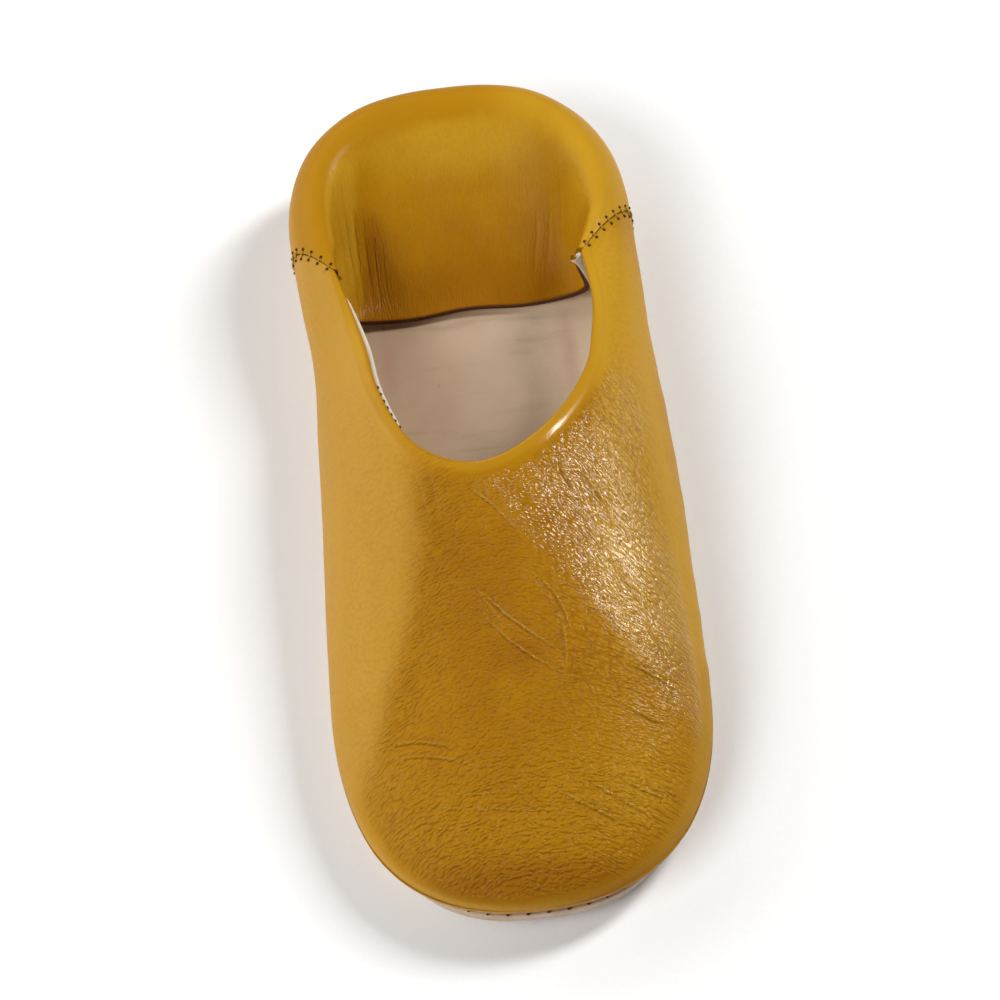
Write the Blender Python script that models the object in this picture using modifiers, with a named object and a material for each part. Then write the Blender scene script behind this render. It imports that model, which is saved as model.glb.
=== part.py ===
"""A leather babouche slipper for the right foot, with its heel folded down.

It is built as it is made: a flat leather outsole, an insole, an upper of one
piece (vamp and side wings) open at the throat and underneath, and a heel piece
whose wall rises from the sole, folds over at the top and lies down inside the
shoe as a flap.  Metres, +Z up, toe towards -Y, big-toe side towards +X, sole
on z = 0, origin in the middle of the plan.

One surface gives both leather pieces.  Its widest line in plan comes from the
SECTIONS table with round ends.  Below it the wall tucks in to the sole, and
above it stands a last-shaped dome or the crest of the folded heel.
"""
import bpy
import numpy as np

SHOE_LENGTH = 0.2675        # tip of the upper's toe to the back of the heel
BALL_WIDTH = 0.1035         # widest place of the forefoot, outside the leather
HEEL_WIDTH = 0.1005         # widest place of the heel, outside the leather
INSTEP_HEIGHT = 0.0465      # sole top to the outside of the instep at the throat
HEEL_HEIGHT = 0.0350        # sole top to the crest of the folded heel

SOLE_THICKNESS = 0.0030
SOLE_MARGIN = 0.0012        # how far the sole reaches past the foot of the upper
TOE_SPRING = 0.0062         # rise of the sole's tip
SPRING_LENGTH = 0.0560      # length of the sole that rises towards the tip
ARCH_RISE = 0.0012          # rise of the sole under the arch
INSOLE_THICKNESS = 0.0016
UPPER_WALL = 0.0020         # vamp leather with its lining
HEEL_WALL = 0.0018          # heel leather with its lining, flap too
GAP = 0.0003                # clearance between two pieces that touch
SEAM_GAP = 0.0016           # open width of the side seams, along the widest line

TOE_ROUND = 0.0700          # length of the round toe in plan
HEEL_ROUND = 0.0520         # length of the round heel in plan
THROAT_FROM_HEEL = 0.1466   # front of the throat to the back of the heel
THROAT_LENGTH = 0.0790      # front of the throat to the inner ends of the side seams
THROAT_ROUND = 0.0420       # length of the round front of the throat
SEAM_STAGGER = 0.0030       # how far the medial seam's inner end lies in front of the lateral's
SEAM_SLANT_LATERAL = 0.0140 # how far each seam's foot lies behind its inner end
SEAM_SLANT_MEDIAL = 0.0190
RIDGE_HALF = 0.0124         # half width of the ridge over which the two sides' widths meet
FOLD_WIDTH = 0.0090         # outer face of the heel to the crest of its fold
CREST_START = 0.0130        # seam's inner end to where the crest keeps FOLD_WIDTH
FLAP_LENGTH = 0.0660        # back of the heel to the middle of the flap's free edge
FLAP_CORNER_IN = 0.0040     # inner end of a seam to the end of the flap's free edge
FLAP_CORNER_DOWN = 0.0050   # the same, downwards
FLAP_SPREAD = 0.0065        # how much wider each side of the flap's edge is at the bottom
FLAP_LIFT = 0.0012          # the free edge's height over the insole
FLAP_ROLL_SIDE = 0.0075     # how far the fold runs level before it drops
FLAP_ROLL_BACK = 0.0140     # the same at the heel's back

# One row for each station.  "at" is its distance from the toe as a share of SHOE_LENGTH.  "centre" is
# the ridge line's shift to the big-toe side, "medial" and "lateral" the wall's distance from it, and
# "tuck" how far the wall's foot lies inside it, as shares of the width.  "ridge" and "widest" are
# heights above the sole top as shares of the height.  Width and height pass from the forefoot's
# named sizes to the heel's.
SECTION_COLUMNS = ("at", "centre", "medial", "lateral", "ridge", "widest", "tuck")
SECTIONS = (
    (0.00, -0.020, 0.506, 0.510, 0.46, 0.17, 0.013),
    (0.06, -0.014, 0.506, 0.516, 0.53, 0.19, 0.043),
    (0.14, -0.002, 0.496, 0.520, 0.62, 0.21, 0.066),
    (0.24, 0.014, 0.478, 0.530, 0.73, 0.24, 0.070),
    (0.35, 0.024, 0.468, 0.530, 0.86, 0.27, 0.074),
    (0.46, 0.034, 0.460, 0.526, 0.98, 0.30, 0.084),
    (0.56, 0.034, 0.454, 0.520, 1.03, 0.36, 0.092),
    (0.66, 0.026, 0.454, 0.508, 1.09, 0.46, 0.094),
    (0.76, 0.008, 0.474, 0.516, 1.15, 0.56, 0.090),
    (0.86, -0.008, 0.484, 0.516, 1.15, 0.62, 0.080),
    (1.00, -0.025, 0.494, 0.510, 1.15, 0.62, 0.070),
)
# One row for each place along the throat.  "back" is its share of THROAT_LENGTH.  "middle" is the
# opening's shift to the big-toe side and "half" its half width before the front is rounded, both as
# shares of the shoe's width there.
THROAT_COLUMNS = ("back", "middle", "half")
THROAT = (
    (0.00, -0.043, 0.327),
    (0.08, -0.038, 0.321),
    (0.24, -0.021, 0.308),
    (0.48, -0.006, 0.314),
    (0.76, -0.009, 0.344),
    (1.00, -0.037, 0.358),
)
TOE_SQUARE = 2.40           # exponents: 2 is an ellipse, more is squarer
HEEL_SQUARE = 2.45
THROAT_SQUARE = 1.75
SECTION_SQUARE = 2.3
FOLD_SQUARE = 2.2
FLAP_EDGE_SQUARE = 4.8

HEEL_BLEND = (0.40, 0.80)   # stations between which the heel's sizes take over from the forefoot's
ARCH_ENDS = (0.40, 0.68)    # stations between which the sole rises under the arch
ARCH_RAMP = 0.12
SEAM_BLEND = 0.20           # share of a wing over which the dome passes into the heel's fold
THROAT_SPREAD = (0.42, 2.4)  # even share and power by which ribs spread along the throat
ROW_SPREAD = 0.35           # share of even spacing from the widest line to the top
FLAP_LEAN = (0.42, 0.10)    # how the flap comes down to its free edge: shares along and down
ROLL_LIMIT = 0.45           # the fold's level part as a share of the way to the free edge

UPPER_RIBS = 84             # ribs run from the sole over the top, rows run along the shoe
HEEL_RIBS = 44
FOOT_ROWS = 3
DOME_ROWS = 11
FOLD_ROWS = 6
FLAP_ROWS = 9
SOLE_STATIONS = 48
SOLE_COLUMNS = 6
CREST_KNOTS = 24
SAMPLES = 3000

OCHRE = (0.46, 0.22, 0.015, 1.0)
NATURAL = (0.50, 0.33, 0.18, 1.0)
PALE = (0.52, 0.37, 0.26, 1.0)


def smooth(t):
    """0 to 1 with level ends."""
    t = np.clip(t, 0.0, 1.0)
    return t * t * (3.0 - 2.0 * t)


def curve_through(places, values, at):
    """A smooth curve through values given at rising places, read at other places."""
    slopes = np.gradient(values, places)
    row = np.clip(np.searchsorted(places, at) - 1, 0, len(places) - 2)
    step = places[row + 1] - places[row]
    t = (at - places[row]) / step
    start = (2 * t**3 - 3 * t**2 + 1) * values[row] + (t**3 - 2 * t**2 + t) * step * slopes[row]
    end = (3 * t**2 - 2 * t**3) * values[row + 1] + (t**3 - t**2) * step * slopes[row + 1]
    return start + end


def column(table, names, name, at):
    """One named column of a table, read at a share along it."""
    rows = np.array(table)
    return curve_through(rows[:, 0], rows[:, names.index(name)], np.clip(at, 0.0, 1.0))


def section(name, at):
    return column(SECTIONS, SECTION_COLUMNS, name, at)


def heel_share(at):
    """0 in the forefoot, 1 in the heel."""
    return smooth((at - HEEL_BLEND[0]) / (HEEL_BLEND[1] - HEEL_BLEND[0]))


def width_at(at):
    return BALL_WIDTH + (HEEL_WIDTH - BALL_WIDTH) * heel_share(at)


def height_at(at):
    return INSTEP_HEIGHT + (HEEL_HEIGHT - INSTEP_HEIGHT) * heel_share(at)


def station(y):
    """Distance from the toe as a share of the length."""
    return np.clip(y / SHOE_LENGTH + 0.5, 0.0, 1.0)


def sole_top(at):
    """Height of the outsole's upper face: flat, with toe spring and a slight arch."""
    spring = TOE_SPRING * np.clip(1.0 - at * SHOE_LENGTH / SPRING_LENGTH, 0.0, 1.0) ** 2
    arch = ARCH_RISE * smooth((at - ARCH_ENDS[0]) / ARCH_RAMP) * smooth((ARCH_ENDS[1] - at) / ARCH_RAMP)
    return SOLE_THICKNESS + spring + arch


def widest_height(at):
    return sole_top(at) + GAP + height_at(at) * section("widest", at)


def crest_height(at):
    return sole_top(at) + GAP + HEEL_HEIGHT


def tuck_at(at):
    return width_at(at) * section("tuck", at)


def round_ends(at):
    """Shares, 0 on the straight and 1 at the tip, of the round toe and heel, and their exponent."""
    toe = np.clip(1.0 - at * SHOE_LENGTH / TOE_ROUND, 0.0, 1.0)
    heel = np.clip(1.0 - (1.0 - at) * SHOE_LENGTH / HEEL_ROUND, 0.0, 1.0)
    square = TOE_SQUARE + (HEEL_SQUARE - TOE_SQUARE) * heel_share(at)
    return toe, heel, square


def half_width(at, side):
    """Distance from the ridge line to the wall: side runs from -1 (lateral) to 1 (medial)."""
    medial = section("medial", at)
    lateral = section("lateral", at)
    return width_at(at) * (lateral + (medial - lateral) * (side + 1.0) / 2.0)


def side_outline(side):
    """One side of the widest line from toe tip to heel: x, y and station of each point."""
    at = 0.5 - 0.5 * np.cos(np.linspace(0.0, np.pi, SAMPLES))
    toe, heel, square = round_ends(at)
    swell = np.clip(1.0 - toe**square - heel**square, 0.0, 1.0) ** (1.0 / square)
    x = section("centre", at) * width_at(at) + side * half_width(at, side) * swell
    return np.column_stack((x, (at - 0.5) * SHOE_LENGTH, at))


def whole_outline():
    """The widest line from the heel's back along the lateral side, round the toe and back."""
    return np.vstack((side_outline(-1.0)[::-1], side_outline(1.0)[1:]))


def run_lengths(points):
    """Running length along a path in plan."""
    return np.concatenate(([0.0], np.cumsum(np.hypot(*np.diff(points[:, :2], axis=0).T))))


def at_lengths(points, lengths):
    """Points at the given running lengths of a path."""
    run = run_lengths(points)
    return np.column_stack([np.interp(lengths, run, points[:, k]) for k in range(points.shape[1])])


def normals_of(points):
    """Unit normals in plan, to the right of the path's direction."""
    step = np.gradient(points[:, :2], axis=0)
    size = np.hypot(step[:, 0], step[:, 1])
    return np.column_stack((step[:, 1] / size, -step[:, 0] / size))


def dome(x, y):
    """Outer height of the last above a point in plan."""
    at = station(y)
    toe, heel, square = round_ends(at)
    across = x - section("centre", at) * width_at(at)
    side = np.clip(across / RIDGE_HALF, -1.0, 1.0)
    spread = np.abs(across) / half_width(at, side)
    inside = np.clip(1.0 - spread**SECTION_SQUARE - toe**square - heel**square, 0.0, 1.0)
    top = sole_top(at) + GAP + height_at(at) * section("ridge", at)
    return widest_height(at) + (top - widest_height(at)) * np.sqrt(inside)


def fold_height(at, share):
    """Height of the folded heel's outer wall: share 0 at the widest line, 1 at the crest."""
    rise = np.sqrt(1.0 - (1.0 - share) ** FOLD_SQUARE)
    return widest_height(at) + (crest_height(at) - widest_height(at)) * rise


def throat_front():
    return SHOE_LENGTH / 2.0 - THROAT_FROM_HEEL


def seam_top(medial):
    """How far back a side seam's inner end lies: medial 1, lateral 0."""
    return throat_front() + THROAT_LENGTH - SEAM_STAGGER * medial


def throat_path():
    """The edge of the opening in plan, lateral seam to medial seam round the throat's front."""
    share = np.linspace(1.0, 0.0, SAMPLES) ** 2
    front = np.clip(1.0 - share * THROAT_LENGTH / THROAT_ROUND, 0.0, 1.0)
    swell = (1.0 - front**THROAT_SQUARE) ** (1.0 / THROAT_SQUARE)
    half = swell * column(THROAT, THROAT_COLUMNS, "half", share)
    middle = column(THROAT, THROAT_COLUMNS, "middle", share)
    sides = []
    for medial in (0.0, 1.0):
        y = throat_front() + share * (seam_top(medial) - throat_front())
        x = width_at(station(y)) * (middle + (2.0 * medial - 1.0) * half)
        sides.append(np.column_stack((x, y)))
    return np.vstack((sides[0], sides[1][-2::-1]))


def seam_feet():
    """Running lengths along the whole outline of the lateral seam, toe tip, medial seam and end."""
    outline = whole_outline()
    run = run_lengths(outline)
    tip = len(outline) // 2
    lateral = np.interp(-(seam_top(0.0) + SEAM_SLANT_LATERAL), -outline[:tip, 1], run[:tip])
    medial = np.interp(seam_top(1.0) + SEAM_SLANT_MEDIAL, outline[tip:, 1], run[tip:])
    return lateral, run[tip], medial, run[-1]


def crest_path():
    """The fold's crest in plan, from the medial seam's inner end round the heel to the lateral's."""
    throat = throat_path()
    outline = np.vstack((side_outline(1.0), side_outline(-1.0)[-2::-1]))
    inset = outline[:, :2] - FOLD_WIDTH * normals_of(outline)
    inset = inset[inset[:, 1] > seam_top(0.0) + CREST_START]
    knots = np.vstack((throat[-1], inset[:: max(1, len(inset) // CREST_KNOTS)], throat[0]))
    run = run_lengths(knots)
    fine = np.linspace(0.0, run[-1], SAMPLES)
    return np.column_stack([curve_through(run, knots[:, k], fine) for k in range(2)])


def foot_rows(feet):
    """Rows from the sole's top out to the widest line."""
    at = feet[:, 2]
    base = sole_top(at) + GAP
    rows = []
    for share in np.linspace(0.0, 1.0, FOOT_ROWS + 1)[:-1]:
        inset = tuck_at(at) * (1.0 - np.sin(share * np.pi / 2.0))
        spot = feet[:, :2] - inset[:, None] * normals_of(feet)
        rows.append(np.column_stack((spot, base + (widest_height(at) - base) * share)))
    return rows


def inward_shares(count):
    """Shares of the way in from the widest line, close together at first."""
    t = np.linspace(0.0, 1.0, count + 1)
    turn = 1.0 - np.cos(t * np.pi / 2.0)
    return turn * (1.0 - ROW_SPREAD + ROW_SPREAD * t)


def upper_surface():
    """Rows of the vamp and wings, sole to throat, each from the lateral seam to the medial seam."""
    lateral, tip, medial, _ = seam_feet()
    share = np.linspace(-1.0, 1.0, UPPER_RIBS + 1)
    reach = np.where(share < 0.0, tip - lateral, medial - tip) - SEAM_GAP / 2.0
    feet = at_lengths(whole_outline(), tip + share * reach)
    throat = throat_path()
    half = run_lengths(throat)[-1] / 2.0
    even, power = THROAT_SPREAD
    spread = np.sign(share) * (even * np.abs(share) + (1.0 - even) * np.abs(share) ** power)
    tops = at_lengths(throat, half + spread * (half - SEAM_GAP / 2.0))
    near_seam = smooth((np.abs(share) - 1.0 + SEAM_BLEND) / SEAM_BLEND)
    rows = foot_rows(feet)
    for inward in inward_shares(DOME_ROWS):
        spot = feet[:, :2] + inward * (tops - feet[:, :2])
        last = dome(spot[:, 0], spot[:, 1])
        fold = fold_height(feet[:, 2], inward)
        rows.append(np.column_stack((spot, last + (fold - last) * near_seam)))
    return np.array(rows)


def free_edge(count):
    """The flap's free edge, medial end to lateral: down the wall, across the insole and up."""
    throat = throat_path()
    right = throat[-1, 0] - FLAP_CORNER_IN
    left = throat[0, 0] + FLAP_CORNER_IN
    bottom = SOLE_THICKNESS + GAP + INSOLE_THICKNESS + FLAP_LIFT + HEEL_WALL
    top = crest_height(1.0) - FLAP_CORNER_DOWN
    angle = np.linspace(0.0, np.pi, SAMPLES)
    across = np.abs(np.cos(angle)) ** (2.0 / FLAP_EDGE_SQUARE)
    depth = np.sin(angle) ** (2.0 / FLAP_EDGE_SQUARE)
    x = (right + left) / 2.0 + ((right - left) / 2.0 + FLAP_SPREAD * depth) * np.sign(np.cos(angle)) * across
    z = top - (top - bottom) * depth
    corner = SEAM_GAP + seam_top((1.0 + np.cos(angle)) / 2.0)
    y = corner + (SHOE_LENGTH / 2.0 - FLAP_LENGTH - corner) * smooth(np.sin(angle))
    run = np.concatenate(([0.0], np.cumsum(np.hypot(np.diff(x), np.diff(z)))))
    places = np.linspace(0.0, run[-1], count)
    return np.column_stack([np.interp(places, run, values) for values in (x, y, z)])


def heel_surface():
    """Rows of the heel piece, sole over the crest to the free edge, medial seam to lateral."""
    lateral, _, medial, whole = seam_feet()
    outline = whole_outline()
    round_twice = np.vstack((outline, outline[1:]))
    share = np.linspace(0.0, 1.0, HEEL_RIBS + 1)
    reach = whole - medial + lateral - SEAM_GAP
    feet = at_lengths(round_twice, medial + SEAM_GAP / 2.0 + share * reach)
    path = crest_path()
    reach = run_lengths(path)[-1] - SEAM_GAP
    tops = at_lengths(path, SEAM_GAP / 2.0 + share * reach)
    rows = foot_rows(feet)
    for inward in inward_shares(FOLD_ROWS):
        spot = feet[:, :2] + inward * (tops - feet[:, :2])
        rows.append(np.column_stack((spot, fold_height(feet[:, 2], inward))))
    return np.array(rows + flap_rows(rows[-1], share))


def flap_rows(crest, share):
    """Rows from the crest down to the free edge, along one curve of four points for each rib."""
    edge = free_edge(len(share))
    roll = FLAP_ROLL_SIDE + (FLAP_ROLL_BACK - FLAP_ROLL_SIDE) * np.sin(share * np.pi) ** 2
    roll = np.minimum(roll, ROLL_LIMIT * np.linalg.norm(crest - edge, axis=1))
    level = np.column_stack((-normals_of(crest) * roll[:, None], np.zeros(len(share))))
    along, down = FLAP_LEAN
    lean = (crest - edge) * (along, along, down)
    rows = []
    for t in np.linspace(0.0, 1.0, FLAP_ROWS + 1)[1:]:
        start = (1 - t) ** 3 * crest + 3 * (1 - t) ** 2 * t * (crest + level)
        end = 3 * (1 - t) * t**2 * (edge + lean) + t**3 * edge
        rows.append(start + end)
    return rows


def plan_middle():
    """Middle of the shoe's box in plan, from the widest line and the sole's tip."""
    outline = whole_outline()
    tip = -SHOE_LENGTH / 2.0 - max(0.0, SOLE_MARGIN - tuck_at(0.0))
    back = SHOE_LENGTH / 2.0 + max(0.0, SOLE_MARGIN - tuck_at(1.0))
    return (outline[:, 0].min() + outline[:, 0].max()) / 2.0, (tip + back) / 2.0


def place(name, points, faces, material, collection):
    """A mesh object whose origin moves to the middle of the plan."""
    mesh = bpy.data.meshes.new(name)
    mesh.from_pydata(points, [], faces)
    mesh.materials.append(material)
    piece = bpy.data.objects.new(name, mesh)
    x, y = plan_middle()
    piece.location = (-x, -y, 0.0)
    collection.objects.link(piece)
    return piece


def thicken(piece, thickness, offset):
    wall = piece.modifiers.new("wall", "SOLIDIFY")
    wall.thickness = thickness
    wall.offset = offset


def grid_faces(count, columns):
    """Quads of a grid of points, and the numbers of its points."""
    index = np.arange(count * columns).reshape(count, columns)
    quads = np.stack((index[:-1, :-1], index[:-1, 1:], index[1:, 1:], index[1:, :-1]), axis=-1)
    return quads.reshape(-1, 4).tolist(), index


def sheet(name, rows, thickness, material, collection):
    """A grid of rows as one leather wall, its thickness on the inner side."""
    faces, _ = grid_faces(rows.shape[0], rows.shape[1])
    piece = place(name, rows.reshape(-1, 3).tolist(), faces, material, collection)
    piece.data.shade_smooth()
    thicken(piece, thickness, -1.0)


def plate_edge(side, inset_of):
    """One edge of a plate, inset_of(station) inside the widest line, from toe to heel."""
    share = 0.5 - 0.5 * np.cos(np.linspace(0.0, np.pi, SOLE_STATIONS + 1))
    path = side_outline(side)
    spots = at_lengths(path, share * run_lengths(path)[-1])
    outward = normals_of(spots) * side
    outward[0] = (0.0, -1.0)
    outward[-1] = (0.0, 1.0)
    return spots[:, :2] - inset_of(spots[:, 2])[:, None] * outward


def plate(name, inset_of, base_of, thickness, material, collection):
    """A flat leather sheet cut to the foot's outline, its lower face on base_of(station)."""
    across = np.linspace(0.0, 1.0, SOLE_COLUMNS + 1)[None, :, None]
    lateral = plate_edge(-1.0, inset_of)[:, None, :]
    medial = plate_edge(1.0, inset_of)[:, None, :]
    plan = lateral * (1.0 - across) + medial * across
    points = np.dstack((plan, base_of(station(plan[:, :, 1]))))
    body = points[1:-1]
    faces, index = grid_faces(body.shape[0], body.shape[1])
    toe = index.size
    heel = toe + 1
    faces += [(toe, b, a) for a, b in zip(index[0, :-1].tolist(), index[0, 1:].tolist())]
    faces += [(heel, a, b) for a, b in zip(index[-1, :-1].tolist(), index[-1, 1:].tolist())]
    corners = body.reshape(-1, 3).tolist() + [points[0, 0].tolist(), points[-1, 0].tolist()]
    piece = place(name, corners, faces, material, collection)
    thicken(piece, thickness, 1.0)


def leather(name, colour, roughness):
    material = bpy.data.materials.new(name)
    material.use_nodes = True
    shader = material.node_tree.nodes["Principled BSDF"]
    shader.inputs["Base Color"].default_value = colour
    shader.inputs["Roughness"].default_value = roughness
    shader.inputs["Metallic"].default_value = 0.0
    return material


def outsole(collection):
    material = leather("natural sole leather", NATURAL, 0.75)
    plate("outsole", lambda at: tuck_at(at) - SOLE_MARGIN, lambda at: sole_top(at) - SOLE_THICKNESS,
          SOLE_THICKNESS, material, collection)


def insole(collection):
    material = leather("pale insole leather", PALE, 0.70)
    wall = max(UPPER_WALL, HEEL_WALL) + 2.0 * GAP
    plate("insole", lambda at: tuck_at(at) + wall, lambda at: sole_top(at) + GAP,
          INSOLE_THICKNESS, material, collection)


def upper_and_heel(collection):
    material = leather("ochre leather", OCHRE, 0.42)
    sheet("upper", upper_surface(), UPPER_WALL, material, collection)
    sheet("heel_quarter", heel_surface(), HEEL_WALL, material, collection)


def main():
    for thing in list(bpy.data.objects):
        bpy.data.objects.remove(thing, do_unlink=True)
    slipper = bpy.data.collections.new("babouche_slipper")
    bpy.context.scene.collection.children.link(slipper)
    outsole(slipper)
    insole(slipper)
    upper_and_heel(slipper)


main()
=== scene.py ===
import math
from functools import partial, reduce

import bmesh
import bpy
import numpy as np
from mathutils import Matrix, Vector


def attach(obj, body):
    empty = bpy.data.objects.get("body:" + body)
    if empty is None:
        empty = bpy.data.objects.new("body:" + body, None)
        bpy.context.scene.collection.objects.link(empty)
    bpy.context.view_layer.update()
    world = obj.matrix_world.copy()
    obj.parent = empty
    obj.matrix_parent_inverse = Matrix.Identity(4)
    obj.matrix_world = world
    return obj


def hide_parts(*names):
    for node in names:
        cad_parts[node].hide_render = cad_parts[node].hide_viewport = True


# Looks of a leather babouche slipper for the right foot, its heel folded down.
# Metres, toe towards -Y, big-toe side towards +X, floor at z = 0.

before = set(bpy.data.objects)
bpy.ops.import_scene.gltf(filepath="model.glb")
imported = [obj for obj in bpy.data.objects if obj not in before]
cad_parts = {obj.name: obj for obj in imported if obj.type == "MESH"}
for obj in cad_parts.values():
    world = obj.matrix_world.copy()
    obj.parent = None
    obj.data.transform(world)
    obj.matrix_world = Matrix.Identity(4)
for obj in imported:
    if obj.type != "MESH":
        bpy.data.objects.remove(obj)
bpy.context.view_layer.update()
print("frame loaded:", ", ".join(sorted(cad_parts)))

# the last and the pattern, the same sizes as the solids
last = {
    "length": 0.2675,  # toe tip to the back of the heel
    "ballWidth": 0.1035,
    "heelWidth": 0.1005,
    "instepHeight": 0.0465,  # sole top to the instep at the throat
    "heelHeight": 0.0350,  # sole top to the crest of the folded heel
    "soleThickness": 0.0030,
    "toeSpring": 0.0062,
    "springLength": 0.0560,
    "archRise": 0.0012,
    "insoleThickness": 0.0016,
    "gap": 0.0003,
    "toeRound": 0.0700,
    "heelRound": 0.0520,
    "toeSquare": 2.40,  # exponents: 2 is an ellipse, more is squarer
    "heelSquare": 2.45,
    "sectionSquare": 2.3,
    "ridgeHalf": 0.0124,
    "heelBlend": (0.40, 0.80),
    "archEnds": (0.40, 0.68),
    "archRamp": 0.12,
    "rowSpread": 0.65,  # how even the rows between widest line and topline are
}
throat = {
    "fromHeel": 0.1466,
    "length": 0.0790,
    "round": 0.0420,
    "square": 1.75,
    "stagger": 0.0030,  # the medial seam's inner end lies this far in front of the lateral's
    "slantLateral": 0.0140,  # a seam's foot lies this far behind its inner end
    "slantMedial": 0.0190,
    "spread": (0.42, 2.4),
    "seamBlend": 0.20,
}
heelFold = {
    "wall": 0.0018,
    "width": 0.0090,  # outer face to the crest
    "crestStart": 0.0130,
    "square": 2.2,
    "flapLength": 0.0660,
    "cornerInMedial": 0.0034,
    "cornerInLateral": 0.0014,
    "cornerDown": 0.0050,
    "spread": 0.0065,
    "lift": 0.0012,
    "rollSide": 0.0075,
    "rollBack": 0.0140,
    "rollLimit": 0.45,
    "edgeSquare": 4.8,
    "lean": (0.42, 0.10),
    "knots": 24,  # of the crest's curve
    "cornerBack": 0.0016,
}
# station along the last as a share of its length, then the ridge line's shift to the big-toe side, the
# wall's distance from it on both sides, the ridge's and the widest line's height, and the wall's tuck
sectionNames = ("at", "centre", "medial", "lateral", "ridge", "widest", "tuck")
sectionRows = (
    (0.00, -0.020, 0.506, 0.510, 0.46, 0.115, 0.021),
    (0.06, -0.014, 0.506, 0.516, 0.53, 0.14, 0.047),
    (0.14, -0.002, 0.496, 0.520, 0.62, 0.185, 0.067),
    (0.24, 0.014, 0.478, 0.530, 0.73, 0.24, 0.070),
    (0.35, 0.024, 0.468, 0.530, 0.86, 0.27, 0.074),
    (0.46, 0.034, 0.460, 0.526, 0.98, 0.30, 0.084),
    (0.56, 0.034, 0.454, 0.520, 1.03, 0.36, 0.092),
    (0.66, 0.026, 0.454, 0.508, 1.09, 0.46, 0.094),
    (0.76, 0.008, 0.474, 0.516, 1.15, 0.56, 0.090),
    (0.86, -0.008, 0.484, 0.516, 1.15, 0.62, 0.080),
    (1.00, -0.025, 0.494, 0.510, 1.15, 0.62, 0.070),
)
# the opening: share of its length from the front, its shift to the big-toe side and its half width
throatNames = ("back", "middle", "half")
throatRows = (
    (0.00, -0.043, 0.327),
    (0.08, -0.038, 0.321),
    (0.24, -0.021, 0.308),
    (0.48, -0.006, 0.314),
    (0.76, -0.009, 0.344),
    (1.00, -0.037, 0.358),
)
samples = 3000


def smooth(t):
    # 0 to 1 with level ends: t squared times (3 - 2t)
    t = np.clip(t, 0.0, 1.0)
    return t * t * (3.0 - 2.0 * t)


def rise(value, zeroAt, oneAt):
    # 0 up to the first place, 1 from the second on, smooth between them, in either direction
    return smooth((value - zeroAt) / (oneAt - zeroAt))


def mixed(low, high, share):
    # low plus share times (high - low)
    return low + (high - low) * share


def bell(distance, width):
    # a soft hump: e to the minus (distance / width) squared
    return np.exp(-(distance / width) ** 2)


def curveThrough(places, values, at):
    # cubic Hermite curve through values at rising places, its slopes from the neighbours
    slopes = np.gradient(values, places)
    row = np.clip(np.searchsorted(places, at) - 1, 0, len(places) - 2)
    step = places[row + 1] - places[row]
    t = (at - places[row]) / step
    start = (2 * t**3 - 3 * t**2 + 1) * values[row] + (t**3 - 2 * t**2 + t) * step * slopes[row]
    end = (3 * t**2 - 2 * t**3) * values[row + 1] + (t**3 - t**2) * step * slopes[row + 1]
    return start + end


def column(rows, names, name, at):
    # one named column of a table, on a smooth curve through its rows
    table = np.array(rows)
    return curveThrough(table[:, 0], table[:, names.index(name)], np.clip(at, 0.0, 1.0))


def section(name, at):
    # one column of the last's table
    return column(sectionRows, sectionNames, name, at)


def heelShare(at):
    # 0 in the forepart, 1 at the heel, smooth between
    return rise(at, *last["heelBlend"])


def widthAt(at):
    # the ball's width in the forepart, the heel's at the heel
    return mixed(last["ballWidth"], last["heelWidth"], heelShare(at))


def heightAt(at):
    # the instep's height in the forepart, the fold's at the heel
    return mixed(last["instepHeight"], last["heelHeight"], heelShare(at))


def station(y):
    # place along the last, from 0 at the toe to 1 at the heel
    return np.clip(y / last["length"] + 0.5, 0.0, 1.0)


def soleTop(at):
    # flat, plus a parabola of toe spring and a low smooth arch
    spring = last["toeSpring"] * np.clip(1.0 - at * last["length"] / last["springLength"], 0.0, 1.0) ** 2
    first, final = last["archEnds"]
    arch = smooth((at - first) / last["archRamp"]) * smooth((final - at) / last["archRamp"])
    return last["soleThickness"] + spring + last["archRise"] * arch


def widestHeight(at):
    # top of the sole and gap, plus the table's share of the height
    return soleTop(at) + last["gap"] + heightAt(at) * section("widest", at)


def crestHeight(at):
    # top of the sole and gap, plus the folded heel's height
    return soleTop(at) + last["gap"] + last["heelHeight"]


def tuckAt(at):
    # how far the wall's foot lies inside the widest line: the table's share of the width
    return widthAt(at) * section("tuck", at)


def roundEnds(at):
    # how far a place is into the toe's and the heel's rounding, and the exponent of that rounding
    toe = np.clip(1.0 - at * last["length"] / last["toeRound"], 0.0, 1.0)
    heel = np.clip(1.0 - (1.0 - at) * last["length"] / last["heelRound"], 0.0, 1.0)
    return toe, heel, mixed(last["toeSquare"], last["heelSquare"], heelShare(at))


def halfWidth(at, side):
    # side is -1 on the little-toe side and 1 on the big-toe side
    return widthAt(at) * mixed(section("lateral", at), section("medial", at), (side + 1.0) / 2.0)


def sideOutline(side):
    # x = centre line plus side times the half width, rounded to 0 at both ends like a superellipse
    at = 0.5 - 0.5 * np.cos(np.linspace(0.0, np.pi, samples))
    toe, heel, square = roundEnds(at)
    swell = np.clip(1.0 - toe**square - heel**square, 0.0, 1.0) ** (1.0 / square)
    x = section("centre", at) * widthAt(at) + side * halfWidth(at, side) * swell
    return np.column_stack((x, (at - 0.5) * last["length"], at))


def runLengths(points):
    # way from the first place along the first axis, on a path or down each column of a grid
    steps = np.linalg.norm(np.diff(points, axis=0), axis=-1)
    return np.concatenate((np.zeros((1,) + steps.shape[1:]), np.cumsum(steps, axis=0)))


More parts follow.
